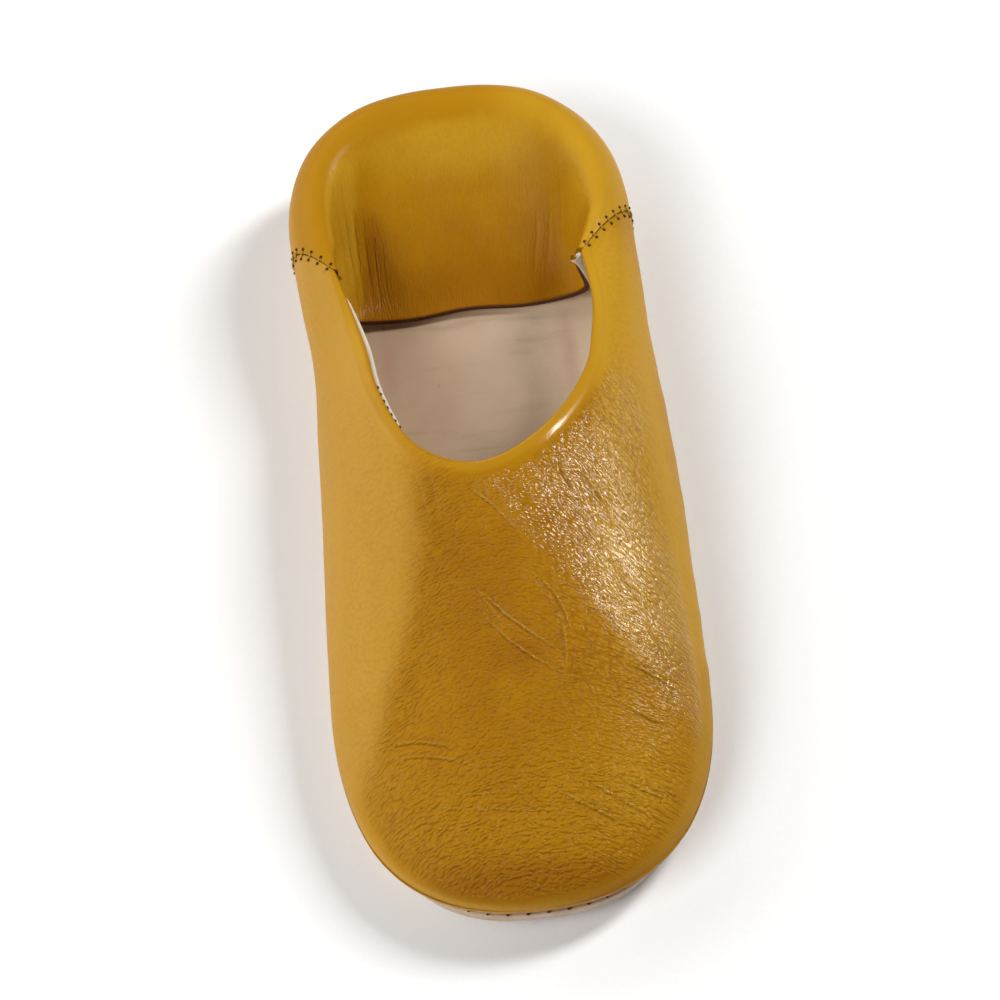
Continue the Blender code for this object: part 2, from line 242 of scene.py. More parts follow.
def atPlaces(places, run, points):
    # a path's points at these distances along it: linear between its own
    return np.column_stack([np.interp(places, run, points[:, k]) for k in range(points.shape[1])])


def unit(vectors):
    # vectors divided by their lengths
    return vectors / np.maximum(np.linalg.norm(vectors, axis=-1, keepdims=True), 1e-12)


def atLengths(points, lengths):
    # points at these distances along the path in plan
    return atPlaces(lengths, runLengths(points[:, :2]), points)


def planNormals(points):
    # unit normals in plan, to the right of the path's direction
    step = np.gradient(points[:, :2], axis=0)
    size = np.hypot(step[:, 0], step[:, 1])
    return np.column_stack((step[:, 1] / size, -step[:, 0] / size))


wholeOutline = np.vstack((sideOutline(-1.0)[::-1], sideOutline(1.0)[1:]))
planMiddle = np.array([(wholeOutline[:, 0].min() + wholeOutline[:, 0].max()) / 2.0, 0.0, 0.0])


def domeHeight(x, y):
    # widest line's height plus (ridge - widest) times sqrt(1 - |X|^p - toe^q - heel^q)
    at = station(y)
    toe, heel, square = roundEnds(at)
    across = x - section("centre", at) * widthAt(at)
    side = np.clip(across / last["ridgeHalf"], -1.0, 1.0)
    spread = np.abs(across) / halfWidth(at, side)
    inside = np.clip(1.0 - spread ** last["sectionSquare"] - toe**square - heel**square, 0.0, 1.0)
    top = soleTop(at) + last["gap"] + heightAt(at) * section("ridge", at)
    return widestHeight(at) + (top - widestHeight(at)) * np.sqrt(inside)


def foldHeight(at, share):
    # from the widest line up to the crest on a quarter of a superellipse
    climb = np.sqrt(1.0 - (1.0 - share) ** heelFold["square"])
    return mixed(widestHeight(at), crestHeight(at), climb)


throatFront = last["length"] / 2.0 - throat["fromHeel"]


def seamTop(medial):
    # place of a seam's inner end from toe to heel; medial is 1 for the big-toe side's, else 0
    return throatFront + throat["length"] - throat["stagger"] * medial


def throatPath():
    # a rounded U in plan: middle plus or minus half, closed at the front like a superellipse
    share = np.linspace(1.0, 0.0, samples) ** 2
    front = np.clip(1.0 - share * throat["length"] / throat["round"], 0.0, 1.0)
    swell = (1.0 - front ** throat["square"]) ** (1.0 / throat["square"])
    half = swell * column(throatRows, throatNames, "half", share)
    middle = column(throatRows, throatNames, "middle", share)
    sides = []
    for medial in (0.0, 1.0):
        y = throatFront + share * (seamTop(medial) - throatFront)
        sides.append(np.column_stack((widthAt(station(y)) * (middle + (2.0 * medial - 1.0) * half), y)))
    return np.vstack((sides[0], sides[1][-2::-1]))


def seamFeet():
    # distances along the outline, from the heel round the lateral side, of one seam's foot, the toe's
    # tip and the other seam's foot, and the whole length
    run = runLengths(wholeOutline[:, :2])
    tip = len(wholeOutline) // 2
    y = wholeOutline[:, 1]
    lateral = np.interp(-(seamTop(0.0) + throat["slantLateral"]), -y[:tip], run[:tip])
    medial = np.interp(seamTop(1.0) + throat["slantMedial"], y[tip:], run[tip:])
    return lateral, run[tip], medial, run[-1]


def crestPath():
    # the outline moved in by the fold's width, joined smoothly to the throat's two ends
    path = throatPath()
    outline = np.vstack((sideOutline(1.0), sideOutline(-1.0)[-2::-1]))
    inset = outline[:, :2] - heelFold["width"] * planNormals(outline)
    inset = inset[inset[:, 1] > seamTop(0.0) + heelFold["crestStart"]]
    knots = np.vstack((path[-1], inset[:: max(1, len(inset) // heelFold["knots"])], path[0]))
    run = runLengths(knots)
    fine = np.linspace(0.0, run[-1], samples)
    return np.column_stack([curveThrough(run, knots[:, k], fine) for k in range(2)])


def footRows(feet, count, drop):
    # rows from the sole out to the widest line: inset = tuck times (1 - sin), height rising evenly
    share = np.linspace(0.0, 1.0, count + 1)[:-1, None]
    inset = tuckAt(feet[:, 2]) * (1.0 - np.sin(share * np.pi / 2.0))
    spot = feet[None, :, :2] - inset[..., None] * planNormals(feet)
    base = soleTop(feet[:, 2]) + drop
    return np.dstack((spot, base + (widestHeight(feet[:, 2]) - base) * share))


def inwardShares(count):
    # rows closer together at the widest line: (1 - cos) of a quarter turn, times a share rising to 1
    t = np.linspace(0.0, 1.0, count + 1)
    return (1.0 - np.cos(t * np.pi / 2.0)) * mixed(last["rowSpread"], 1.0, t)


def gridNormals(grid):
    # unit normals: along the columns crossed with along the rows
    return unit(np.cross(np.gradient(grid, axis=1), np.gradient(grid, axis=0)))


creaseShape = {
    "points": 40,  # along each crease
    "reach": 0.005,  # how far from a crease it is worked out
    "far": 9.0,  # the distance given elsewhere, in mm
    "ridge": 0.45,  # height of the ridges beside it, as a share of its depth
    "ridgeAt": 1.9,  # their distance and width, as shares of its width
    "ridgeWidth": 0.8,
    "endPower": 0.6,  # it fades along its length with a sine to this power
    "past": 0.8,  # and past its ends over this many mm
    "shaderWidth": 1.6,  # width of its weight for the shader, in mm
    "fullDepth": 0.30,  # from this depth on that weight is full, in mm
}


def creaseRelief(x, y, creases):
    # each crease is a quadratic curve through three places: a trough of -depth * bell(distance, width)
    # between two lower ridges, fading to nothing at both ends. Returns the height, and for the shader
    # the distance to the nearest crease in mm, with a sign for its side, and that crease's weight less
    # the next one's.
    look = creaseShape
    height, weight, second = np.zeros((3,) + x.shape)
    side = np.full(x.shape, look["far"])
    t = np.linspace(0.0, 1.0, look["points"])[:, None]
    for x0, y0, x1, y1, x2, y2, width, depth in creases:
        start, over, end = (np.array(p) / 1000.0 for p in ((x0, y0), (x1, y1), (x2, y2)))
        bend = 2.0 * over - (start + end) / 2.0
        path = (1 - t) ** 2 * start + 2 * t * (1 - t) * bend + t**2 * end
        way = unit(np.gradient(path, axis=0))
        near = np.ones(x.shape, dtype=bool)
        for value, line in ((x, path[:, 0]), (y, path[:, 1])):
            near &= (value > line.min() - look["reach"]) & (value < line.max() + look["reach"])
        apart = np.column_stack((x[near], y[near]))[:, None] - path
        nearest = np.hypot(apart[..., 0], apart[..., 1]).argmin(axis=1)
        dx, dy = apart[np.arange(len(nearest)), nearest].T * 1000.0
        wayX, wayY = way[nearest].T
        signed, along = wayX * dy - wayY * dx, np.abs(wayX * dx + wayY * dy)
        fade = np.sin(np.pi * t[nearest, 0]) ** look["endPower"] * bell(along, look["past"])
        away = np.abs(signed)
        ridge = look["ridge"] * bell(away - look["ridgeAt"] * width, look["ridgeWidth"] * width)
        height[near] += depth / 1000.0 * fade * (ridge - bell(away, width))
        share = fade * bell(away, look["shaderWidth"]) * min(1.0, depth / look["fullDepth"])
        better = share > weight[near]
        second[near] = np.maximum(second[near], np.minimum(share, weight[near]))
        side[near] = np.where(better, signed, side[near])
        weight[near] = np.maximum(weight[near], share)
    return height, side, weight - second


def swellRelief(x, y, swells):
    # sum of soft round humps and hollows: height times e to the minus squared distance over the radii
    height = np.zeros(x.shape)
    for cx, cy, rx, ry, most in swells:
        height += most / 1000.0 * np.exp(-((x * 1000 - cx) / rx) ** 2 - ((y * 1000 - cy) / ry) ** 2)
    return height


def downColumns(grid, run, ways):
    # the grid's places at the given ways along each column: linear between the two rows round each way
    above = np.clip((run[:, None] < ways[None]).sum(axis=0), 1, len(run) - 1)
    low, high = (np.take_along_axis(run, row, axis=0) for row in (above - 1, above))
    share = np.clip((ways - low) / np.maximum(high - low, 1e-9), 0.0, 1.0)[..., None]
    first, second = (np.take_along_axis(grid, row[..., None], axis=0) for row in (above - 1, above))
    return first * (1.0 - share) + second * share


# meshes

def gridQuads(rows, columns, first=0, flip=False, around=False):
    # four corners a face, of a grid whose points are numbered row by row
    index = np.arange(rows * columns).reshape(rows, columns) + first
    if around:
        index = np.column_stack((index, index[:, 0]))
    corners = (index[:-1, :-1], index[:-1, 1:], index[1:, 1:], index[1:, :-1])
    return np.stack(corners[::-1] if flip else corners, axis=-1).reshape(-1, 4)


def addPiece(name, points, faces, materials, slots=None, flat=None, marks=None):
    # a mesh object with material slots, flat faces and surface marks, which rides on the body
    mesh = bpy.data.meshes.new(name)
    mesh.from_pydata(np.asarray(points).tolist(), [], faces)
    for material in materials:
        mesh.materials.append(material)
    if slots is not None:
        mesh.polygons.foreach_set("material_index", slots.astype(np.int32))
    rounded = np.ones(len(mesh.polygons), dtype=bool)
    if flat is not None:
        rounded[flat] = False
    mesh.polygons.foreach_set("use_smooth", rounded)
    mesh.update()
    for mark, values in (marks or {}).items():
        data = mesh.attributes.new(mark, "FLOAT", "POINT").data
        data.foreach_set("value", values.astype(np.float32))
    piece = bpy.data.objects.new(name, mesh)
    bpy.context.scene.collection.objects.link(piece)
    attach(piece, "root")
    return piece


def rimStrip(fine, coarse, step, turned):
    # polygons that join a finely divided border to a border with every step-th point
    body = fine[np.arange(len(coarse) - 1)[:, None] * step + np.arange(step + 1)]
    pair = np.column_stack((coarse[:-1], coarse[1:]))
    return np.hstack((body[:, ::-1], pair) if turned else (body, pair[:, ::-1]))


def leatherShell(name, outer, calm, thickness, step, materials, marks=None):
    # a closed wall: the outer grid, the same grid without its creases moved inwards by the thickness
    # with every step-th row and column kept, and four rims. The first material is for the outside and
    # the two sides, the second for the inside and the foot, the third for the last row's rim.
    inner = (calm - gridNormals(calm) * thickness)[::step, ::step]
    fine = np.arange(outer[..., 0].size).reshape(outer.shape[:2])
    coarse = np.arange(inner[..., 0].size).reshape(inner.shape[:2]) + fine.size
    sides = [rimStrip(fine[:, k], coarse[:, k], step, turned) for k, turned in ((0, False), (-1, True))]
    groups = [gridQuads(*fine.shape), gridQuads(*coarse.shape, fine.size, flip=True),
              rimStrip(fine[0], coarse[0], step, True), rimStrip(fine[-1], coarse[-1], step, False),
              np.vstack(sides)]
    sizes = [len(group) for group in groups]
    faces = [face for group in groups for face in group.tolist()]
    points = np.vstack((outer.reshape(-1, 3), inner.reshape(-1, 3))) - planMiddle
    rims = np.arange(sizes[0] + sizes[1], sum(sizes))
    full = {mark: np.append(values, np.zeros(coarse.size)) for mark, values in (marks or {}).items()}
    return addPiece(name, points, faces, materials, np.repeat([0, 1, 1, 2, 0], sizes), rims, full)


mergeWithin = 2e-6
shortestEdge = 1e-6


def ringPiece(name, rings, material):
    # a profile carried round a closed path; rows of rings from the middle below to the middle above,
    # whose two halves meet and are merged
    faces = gridQuads(*rings.shape[:2], around=True).tolist()
    piece = addPiece(name, rings.reshape(-1, 3) - planMiddle, faces, [material])
    work = bmesh.new()
    work.from_mesh(piece.data)
    bmesh.ops.remove_doubles(work, verts=work.verts, dist=mergeWithin)
    bmesh.ops.dissolve_degenerate(work, edges=work.edges, dist=shortestEdge)
    work.to_mesh(piece.data)
    work.free()
    return piece


# materials

def newMaterial(name, roughness, coat=0.0, coatRoughness=0.3, specular=0.5, sheen=0.0):
    # a material: constants on the shader's own sockets, and the place to read patterns from
    material = bpy.data.materials.new(name)
    material.use_nodes = True
    tree = material.node_tree
    shader = tree.nodes["Principled BSDF"]
    constants = {"Roughness": roughness, "Coat Weight": coat, "Coat Roughness": coatRoughness,
                 "Specular IOR Level": specular, "Sheen Weight": sheen}
    for socket, value in constants.items():
        shader.inputs[socket].default_value = value
    return material, shader, put(tree, "ShaderNodeTexCoord").outputs["Object"]


def put(tree, kind, sockets=None, **settings):
    # a new node: settings are its own properties, sockets its inputs by name or number
    node = tree.nodes.new(kind)
    for key, value in settings.items():
        setattr(node, key, value)
    for key, value in (sockets or {}).items():
        if isinstance(value, bpy.types.NodeSocket):
            tree.links.new(value, node.inputs[key])
        else:
            node.inputs[key].default_value = value
    return node


def math2(operation, a, b, clamp=False):
    # a math node, in the node tree that the first socket among the two values belongs to
    tree = (a if isinstance(a, bpy.types.NodeSocket) else b).id_data
    return put(tree, "ShaderNodeMath", {0: a, 1: b}, operation=operation, use_clamp=clamp).outputs[0]


def plus(a, b, clamp=False):
    return math2("ADD", a, b, clamp)


def minus(a, b, clamp=False):
    return math2("SUBTRACT", a, b, clamp)


def times(product, *values):
    for value in values:
        product = math2("MULTIPLY", product, value)
    return product


def absolute(a):
    return math2("ABSOLUTE", a, 0.0)


def ramp(value, low, high, toLow=0.0, toHigh=1.0):
    # a smooth step from one value to another
    sockets = {"Value": value, "From Min": low, "From Max": high, "To Min": toLow, "To Max": toHigh}
    node = put(value.id_data, "ShaderNodeMapRange", sockets, interpolation_type="SMOOTHSTEP")
    return node.outputs["Result"]


def mixColour(share, a, b):
    # the first colour, with this share of the second
    return put(share.id_data, "ShaderNodeMix", {0: share, 6: a, 7: b}, data_type="RGBA").outputs[2]


def noise(vector, scale, detail=2.0, roughness=0.5, flat=False, output="Fac"):
    # soft random values, seen at so many to a metre
    sockets = {"Vector": vector, "Scale": scale, "Detail": detail, "Roughness": roughness}
    return put(vector.id_data, "ShaderNodeTexNoise", sockets,
               noise_dimensions="2D" if flat else "3D").outputs[output]


def cells(vector, scale, feature="DISTANCE_TO_EDGE", flat=False):
    # distance to the nearest cell's border or middle
    return put(vector.id_data, "ShaderNodeTexVoronoi", {"Vector": vector, "Scale": scale}, feature=feature,
               voronoi_dimensions="2D" if flat else "3D").outputs["Distance"]


domeShare = 1.25  # of a cell's size to a dome's


def domes(distance):
    # 1 in the middle of a cell, falling with the square of the distance to 0 at its corners
    share = times(distance, domeShare)
    return minus(1.0, times(share, share), clamp=True)


def stretched(vector, scale):
    # the place, made longer or shorter in each direction
    return put(vector.id_data, "ShaderNodeMapping", {"Vector": vector, "Scale": scale}).outputs["Vector"]


def warped(vector, scale, amount, detail=2.0):
    # the place plus amount times (noise - 0.5)
    def step(operation, sockets):
        return put(vector.id_data, "ShaderNodeVectorMath", sockets, operation=operation).outputs[0]

    middle = step("SUBTRACT", {0: noise(vector, scale, detail, output="Color"), 1: (0.5, 0.5, 0.5)})
    return step("ADD", {0: vector, 1: step("SCALE", {0: middle, "Scale": amount})})


def bumpOn(shader, height, distance, before=None):
    # tilts the shader's normals by a height, after another bump if there is one
    sockets = {"Height": height, "Distance": distance, "Strength": 1.0}
    if before is not None:
        sockets["Normal"] = before
    bump = put(shader.id_data, "ShaderNodeBump", sockets).outputs["Normal"]
    shader.id_data.links.new(bump, shader.inputs["Normal"])
    return bump


def attribute(shader, name):
    # a surface mark of the piece
    return put(shader.id_data, "ShaderNodeAttribute", attribute_name=name,
               attribute_type="GEOMETRY").outputs["Fac"]


def feed(shader, **sockets):
    # links outputs to the shader's sockets, whose names are written without spaces
    for socket in shader.inputs:
        if socket.name.replace(" ", "") in sockets:
            shader.id_data.links.new(sockets[socket.name.replace(" ", "")], socket)


ochreLook = {
    "deep": (0.155, 0.040, 0.0006, 1.0),  # colours: painted shade for the hollows, then amber to sunny by tone and painted light, then the pale lit colour
    "amber": (0.285, 0.104, 0.0010, 1.0),
    "mustard": (0.400, 0.178, 0.0022, 1.0),
    "sunny": (0.500, 0.262, 0.0120, 1.0),
    # painted reflection and light: the pale lit colour of walls facing sideways and of the pale side
    "worn": (0.490, 0.262, 0.0340, 1.0),
    "rawMargin": (0.060, 0.009, 0.002, 1.0),
    "tint": (1.0, 0.66, 0.16, 1.0),  # of the reflection seen straight on
    "wornShare": 0.75,  # how far each place takes on its colour
    "ridgeShare": 0.75,
    "bandShare": 0.45,
    "marginShare": 0.9,
    "cloud": (26.0, 3.0, 0.55),  # noise: scale in a metre, detail and roughness
    "patch": (95.0, 3.0, 0.6),
    "cloudTone": 0.45,  # how much the noises change the tone
    "patchTone": 0.28,
    "pebbleScale": 840.0,  # cells in a metre
    "pebbleWarp": (300.0, 0.0012, 1.0),
    "flowWarp": (0.20, 2.6, 1.0),
    "drawnScale": (0.74, 1.16, 1.0),  # cells in a millimetre along the flow and across it
    "waveScale": (0.28, 1.20, 1.0),
    "waveFrom": (0.30, 0.70),
    "crackScale": (0.150, 0.42, 1.0),
    "crackWidth": 0.13,
    # each surface mark's depth in metres, and how dark its hollows are painted, as painted shade
    "reliefs": {"grain": (0.000095, 0.42), "stroke": (0.000280, 0.26), "wrinkle": (0.000170, 0.18),
                "crackle": (0.000085, 0.50)},
    "crease": (0.000300, 0.42),
    "shake": (420.0, 2.0),  # noise that makes the crease lines uneven
    "shakeBy": 0.9,  # in mm, as the next three
    "lineWidth": 0.55,
    "ridgeWidth": 0.60,
    "ridgeAside": 0.72,
    "ridgePolish": 0.45,
    "rough": 0.58,
    "patchRough": 0.14,
    "polishSmooth": 0.27,
}


def creaseLine(shader, width, shift):
    # thin lines where a signed distance, shifted a little, is 0: (1 - |distance| / width) squared,
    # times its weight, for both groups of creases
    lines = []
    for group in "AB":
        away = math2("DIVIDE", absolute(plus(attribute(shader, "creaseSide" + group), shift)), width)
        line = minus(1.0, away, clamp=True)
        lines.append(times(line, line, attribute(shader, "creaseWeight" + group)))
    return plus(*lines, clamp=True)


def ochreLeather():
    # dyed leather: its marks say where it is pebbled, wrinkled, cracked, creased or polished, and where light
    # and shade are painted on it
    look = ochreLook
    material, shader, place = newMaterial("ochreLeather", roughness=0.40, coat=0.30, coatRoughness=0.20,
                                          specular=0.25)
    shader.inputs["Specular Tint"].default_value = look["tint"]
    sockets = {"X": attribute(shader, "flowAlong"), "Y": attribute(shader, "flowAcross")}
    flow = warped(put(shader.id_data, "ShaderNodeCombineXYZ", sockets).outputs[0], *look["flowWarp"])
    # round pebbles, and pebbles drawn out along the flow, each a small dome, then waves and cracks
    crack = cells(stretched(flow, look["crackScale"]), 1.0, flat=True)
    shapes = {
        "grain": domes(cells(warped(place, *look["pebbleWarp"]), look["pebbleScale"], "F1")),
        "stroke": domes(cells(stretched(flow, look["drawnScale"]), 1.0, "F1", True)),
        "wrinkle": ramp(noise(stretched(flow, look["waveScale"]), 1.0, 1.0, 0.5, True), *look["waveFrom"]),
        "crackle": ramp(crack, 0.0, look["crackWidth"]),
    }
    shake = times(minus(noise(place, *look["shake"]), 0.5), look["shakeBy"])
    lines = creaseLine(shader, look["lineWidth"], shake)
    ridges = creaseLine(shader, look["ridgeWidth"], minus(shake, look["ridgeAside"]))
    heights, paintedShades = [], []
    for mark, (depth, dark) in look["reliefs"].items():
        mask = attribute(shader, mark)
        heights.append(times(shapes[mark], mask, depth))
        paintedShades.append(times(minus(1.0, shapes[mark]), mask, dark))
    depth, dark = look["crease"]
    height = reduce(plus, heights + [times(minus(ridges, lines), depth)])
    low = reduce(partial(math2, "MAXIMUM"), paintedShades + [times(lines, dark)])
    # colour: from amber to mustard and sunny by the tone mark, which holds painted light and shade, in
    # clouds; painted shade in every hollow
    patch = noise(place, *look["patch"])
    clouds = plus(times(minus(noise(place, *look["cloud"]), 0.5), look["cloudTone"]),
                  times(minus(patch, 0.5), look["patchTone"]))
    tone = plus(attribute(shader, "tone"), clouds, clamp=True)
    base = mixColour(ramp(tone, 0.0, 0.5), look["amber"], look["mustard"])
    base = mixColour(ramp(tone, 0.5, 1.0), base, look["sunny"])
    # painted reflection and light: the pale lit colour where the side mark is
    base = mixColour(times(attribute(shader, "side"), look["wornShare"]), base, look["worn"])
    # painted shade: every hollow of the relief and every crease line darker
    base = mixColour(low, base, look["deep"])
    # painted highlight: the ridges beside the creases take the sunny colour; then the band lighter and the
    # raw margin dark
    layers = ((ridges, "ridgeShare", "sunny"), (attribute(shader, "band"), "bandShare", "sunny"),
              (attribute(shader, "margin"), "marginShare", "rawMargin"))
    for mask, share, colour in layers:
        base = mixColour(times(mask, look[share]), base, look[colour])
    polish = plus(attribute(shader, "gloss"), times(ridges, look["ridgePolish"]), clamp=True)
    rough = minus(plus(times(patch, look["patchRough"]), look["rough"]), times(polish, look["polishSmooth"]))
    feed(shader, BaseColor=base, CoatWeight=polish, Roughness=rough, CoatNormal=bumpOn(shader, height, 1.0))
    return material


edgeLook = {
    "dark": (0.030, 0.004, 0.002, 1.0),
    "light": (0.075, 0.012, 0.004, 1.0),
    "stretch": (1.0, 1.0, 4.0),
    "fibreScale": 900.0,
    "fibreDepth": 0.00012,
}


def cutEdge():
    # the dyed raw edge of the flap, its fibres lying flat
    look = edgeLook
    material, shader, place = newMaterial("cutEdge", roughness=0.55, specular=0.35)
    fibre = noise(stretched(place, look["stretch"]), look["fibreScale"], 3.0)
    feed(shader, BaseColor=mixColour(fibre, look["dark"], look["light"]))
    bumpOn(shader, fibre, look["fibreDepth"])
    return material


paleLook = {
    "cloud": (38.0, 4.0, 0.6),  # noise: scale in a metre, detail and roughness
    "soiled": (-0.024, 0.036),  # painted shade: from the darker little-toe side, shaded by the wall, to the lit one
    "rubColour": (0.40, 0.18, 0.12, 1.0),  # two faint reddish streaks where the flap rubs
    "rubPlace": (0.0265, 0.052),  # away from the middle line, and behind the middle
    "rubSize": (0.0040, 0.022),
    "rubWarp": (120.0, 0.004),
    "rubShare": 0.5,
    "streakScale": (30.0, 240.0, 30.0),
    "streakWarp": (60.0, 0.004),
    "streakFrom": (0.56, 0.76),
    "speckScale": 70.0,
    "speckWarp": (300.0, 0.002),
    "speckSize": (0.05, 0.10),
    "speckPatches": (55.0, 1.0),
    "speckFrom": (0.52, 0.60),
    "speckShare": 0.55,
    "napScale": (1500.0, 4.0, 0.65),
    "napDepth": 0.8,  # as a share of the grain's
    "grainScale": 1100.0,
    "grainWarp": (500.0, 0.001),
    "grainWidth": 0.25,
}
creamLook = {
    "light": (0.85, 0.77, 0.63, 1.0),
    "dark": (0.76, 0.66, 0.51, 1.0),
    "stain": (0.50, 0.36, 0.20, 1.0),
    "stainShare": 0.20,
    "grainDepth": 0.00004,
    "grime": 0.0,
}
insolePaleLook = {
    "light": (0.760, 0.600, 0.430, 1.0),
    "dark": (0.670, 0.505, 0.355, 1.0),
    "stain": (0.310, 0.185, 0.100, 1.0),
    "stainShare": 0.26,
    "grainDepth": 0.00002,
    # strength of the painted shade towards the little-toe side and of the rub streaks
    "grime": 0.62,
}


def paleLeather(name, finish):
    # undyed leather: clouds, painted shade towards one side, rubbed streaks, drawn-out stains and rare specks
    look = paleLook
    stain, grime = finish["stain"], finish["grime"]
    material, shader, place = newMaterial(name, roughness=0.62, specular=0.3, sheen=0.08)
    base = mixColour(ramp(noise(place, *look["cloud"]), 0.3, 0.7), finish["light"], finish["dark"])
    across = put(shader.id_data, "ShaderNodeSeparateXYZ", {"Vector": place}).outputs["X"]
    # painted shade: darker towards the little-toe side, in the stain colour
    base = mixColour(ramp(across, *look["soiled"], grime, 0.0), base, stain)
    along = put(shader.id_data, "ShaderNodeSeparateXYZ", {"Vector": warped(place, *look["rubWarp"])}).outputs
    away = absolute(along["X"]), along["Y"]
    streaks = times(*(ramp(absolute(minus(spot, middle)), 0.0, reach, 1.0, 0.0)
                      for spot, middle, reach in zip(away, look["rubPlace"], look["rubSize"])))
    base = mixColour(times(streaks, grime * look["rubShare"]), base, look["rubColour"])
    streak = noise(stretched(warped(place, *look["streakWarp"]), look["streakScale"]), 1.0, 3.0)
    base = mixColour(times(ramp(streak, *look["streakFrom"]), finish["stainShare"]), base, stain)
    dots = cells(warped(place, *look["speckWarp"]), look["speckScale"], "F1")
    rare = ramp(noise(place, *look["speckPatches"]), *look["speckFrom"])
    base = mixColour(times(ramp(dots, *look["speckSize"], 1.0, 0.0), rare, look["speckShare"]), base, stain)
    feed(shader, BaseColor=base)
    pebble = ramp(cells(warped(place, *look["grainWarp"]), look["grainScale"]), 0.0, look["grainWidth"])
    first = bumpOn(shader, pebble, finish["grainDepth"])
    bumpOn(shader, noise(place, *look["napScale"]), finish["grainDepth"] * look["napDepth"], before=first)
    return material


soleFinish = {
    "light": (0.62, 0.47, 0.35, 1.0),
    "dark": (0.52, 0.37, 0.26, 1.0),
    "fibre": (0.34, 0.22, 0.14, 1.0),
    "scuff": (0.62, 0.47, 0.33, 1.0),
    "cloud": (45.0, 5.0, 0.6),
    "fibreScale": (300.0, 300.0, 2200.0),  # fibres lie flat, and show as layers in the cut edge
    "fibreFrom": (0.45, 0.75, 0.0, 0.45),
    "fibreDepth": 0.00018,
    "scuffScale": (260.0, 28.0, 60.0),  # drawn out from toe to heel
    "scuffWarp": (30.0, 0.010),
    "scuffFrom": (0.60, 0.72, 0.0, 0.5),
    "scuffDepth": 0.00012,
}


def soleLeather():
    # natural leather: clouds, fibres in layers, and scuffs from toe to heel
    look = soleFinish
    material, shader, place = newMaterial("soleLeather", roughness=0.60, specular=0.35)
    base = mixColour(ramp(noise(place, *look["cloud"]), 0.3, 0.7), look["light"], look["dark"])
    fibre = noise(stretched(place, look["fibreScale"]), 1.0, 3.0, 0.6)
    base = mixColour(ramp(fibre, *look["fibreFrom"]), base, look["fibre"])
    scuff = noise(stretched(warped(place, *look["scuffWarp"]), look["scuffScale"]), 1.0, 4.0, 0.65)
    feed(shader, BaseColor=mixColour(ramp(scuff, *look["scuffFrom"]), base, look["scuff"]))
    bumpOn(shader, scuff, look["scuffDepth"], before=bumpOn(shader, fibre, look["fibreDepth"]))
    return material


threadLook = {
    "brown": (0.055, 0.016, 0.006, 1.0),
    "ochre": (0.52, 0.27, 0.012, 1.0),
    "pale": (0.72, 0.66, 0.56, 1.0),
    "darker": 0.45,  # painted shade between the twisted strands
    "twistScale": 3500.0,
    "twistDepth": 0.00008,
}


def thread(name, colour):
    # twisted thread, with painted shade between its strands
    look = threadLook
    material, shader, place = newMaterial(name, roughness=0.65, specular=0.3)
    twist = noise(place, look["twistScale"], 1.0)
    dark = tuple(c * look["darker"] for c in look[colour][:3]) + (1.0,)
    feed(shader, BaseColor=mixColour(twist, dark, look[colour]))
    bumpOn(shader, twist, look["twistDepth"])
    return material


ochre = ochreLeather()
edgeBrown = cutEdge()
creamLining = paleLeather("creamLining", creamLook)
insolePale = paleLeather("insoleLeather", insolePaleLook)
soleTan = soleLeather()
brownThread = thread("brownThread", "brown")
ochreThread = thread("ochreThread", "ochre")
paleThread = thread("paleThread", "pale")
print("materials made")


# the upper: vamp and side wings in one piece of leather, turned in over the topline

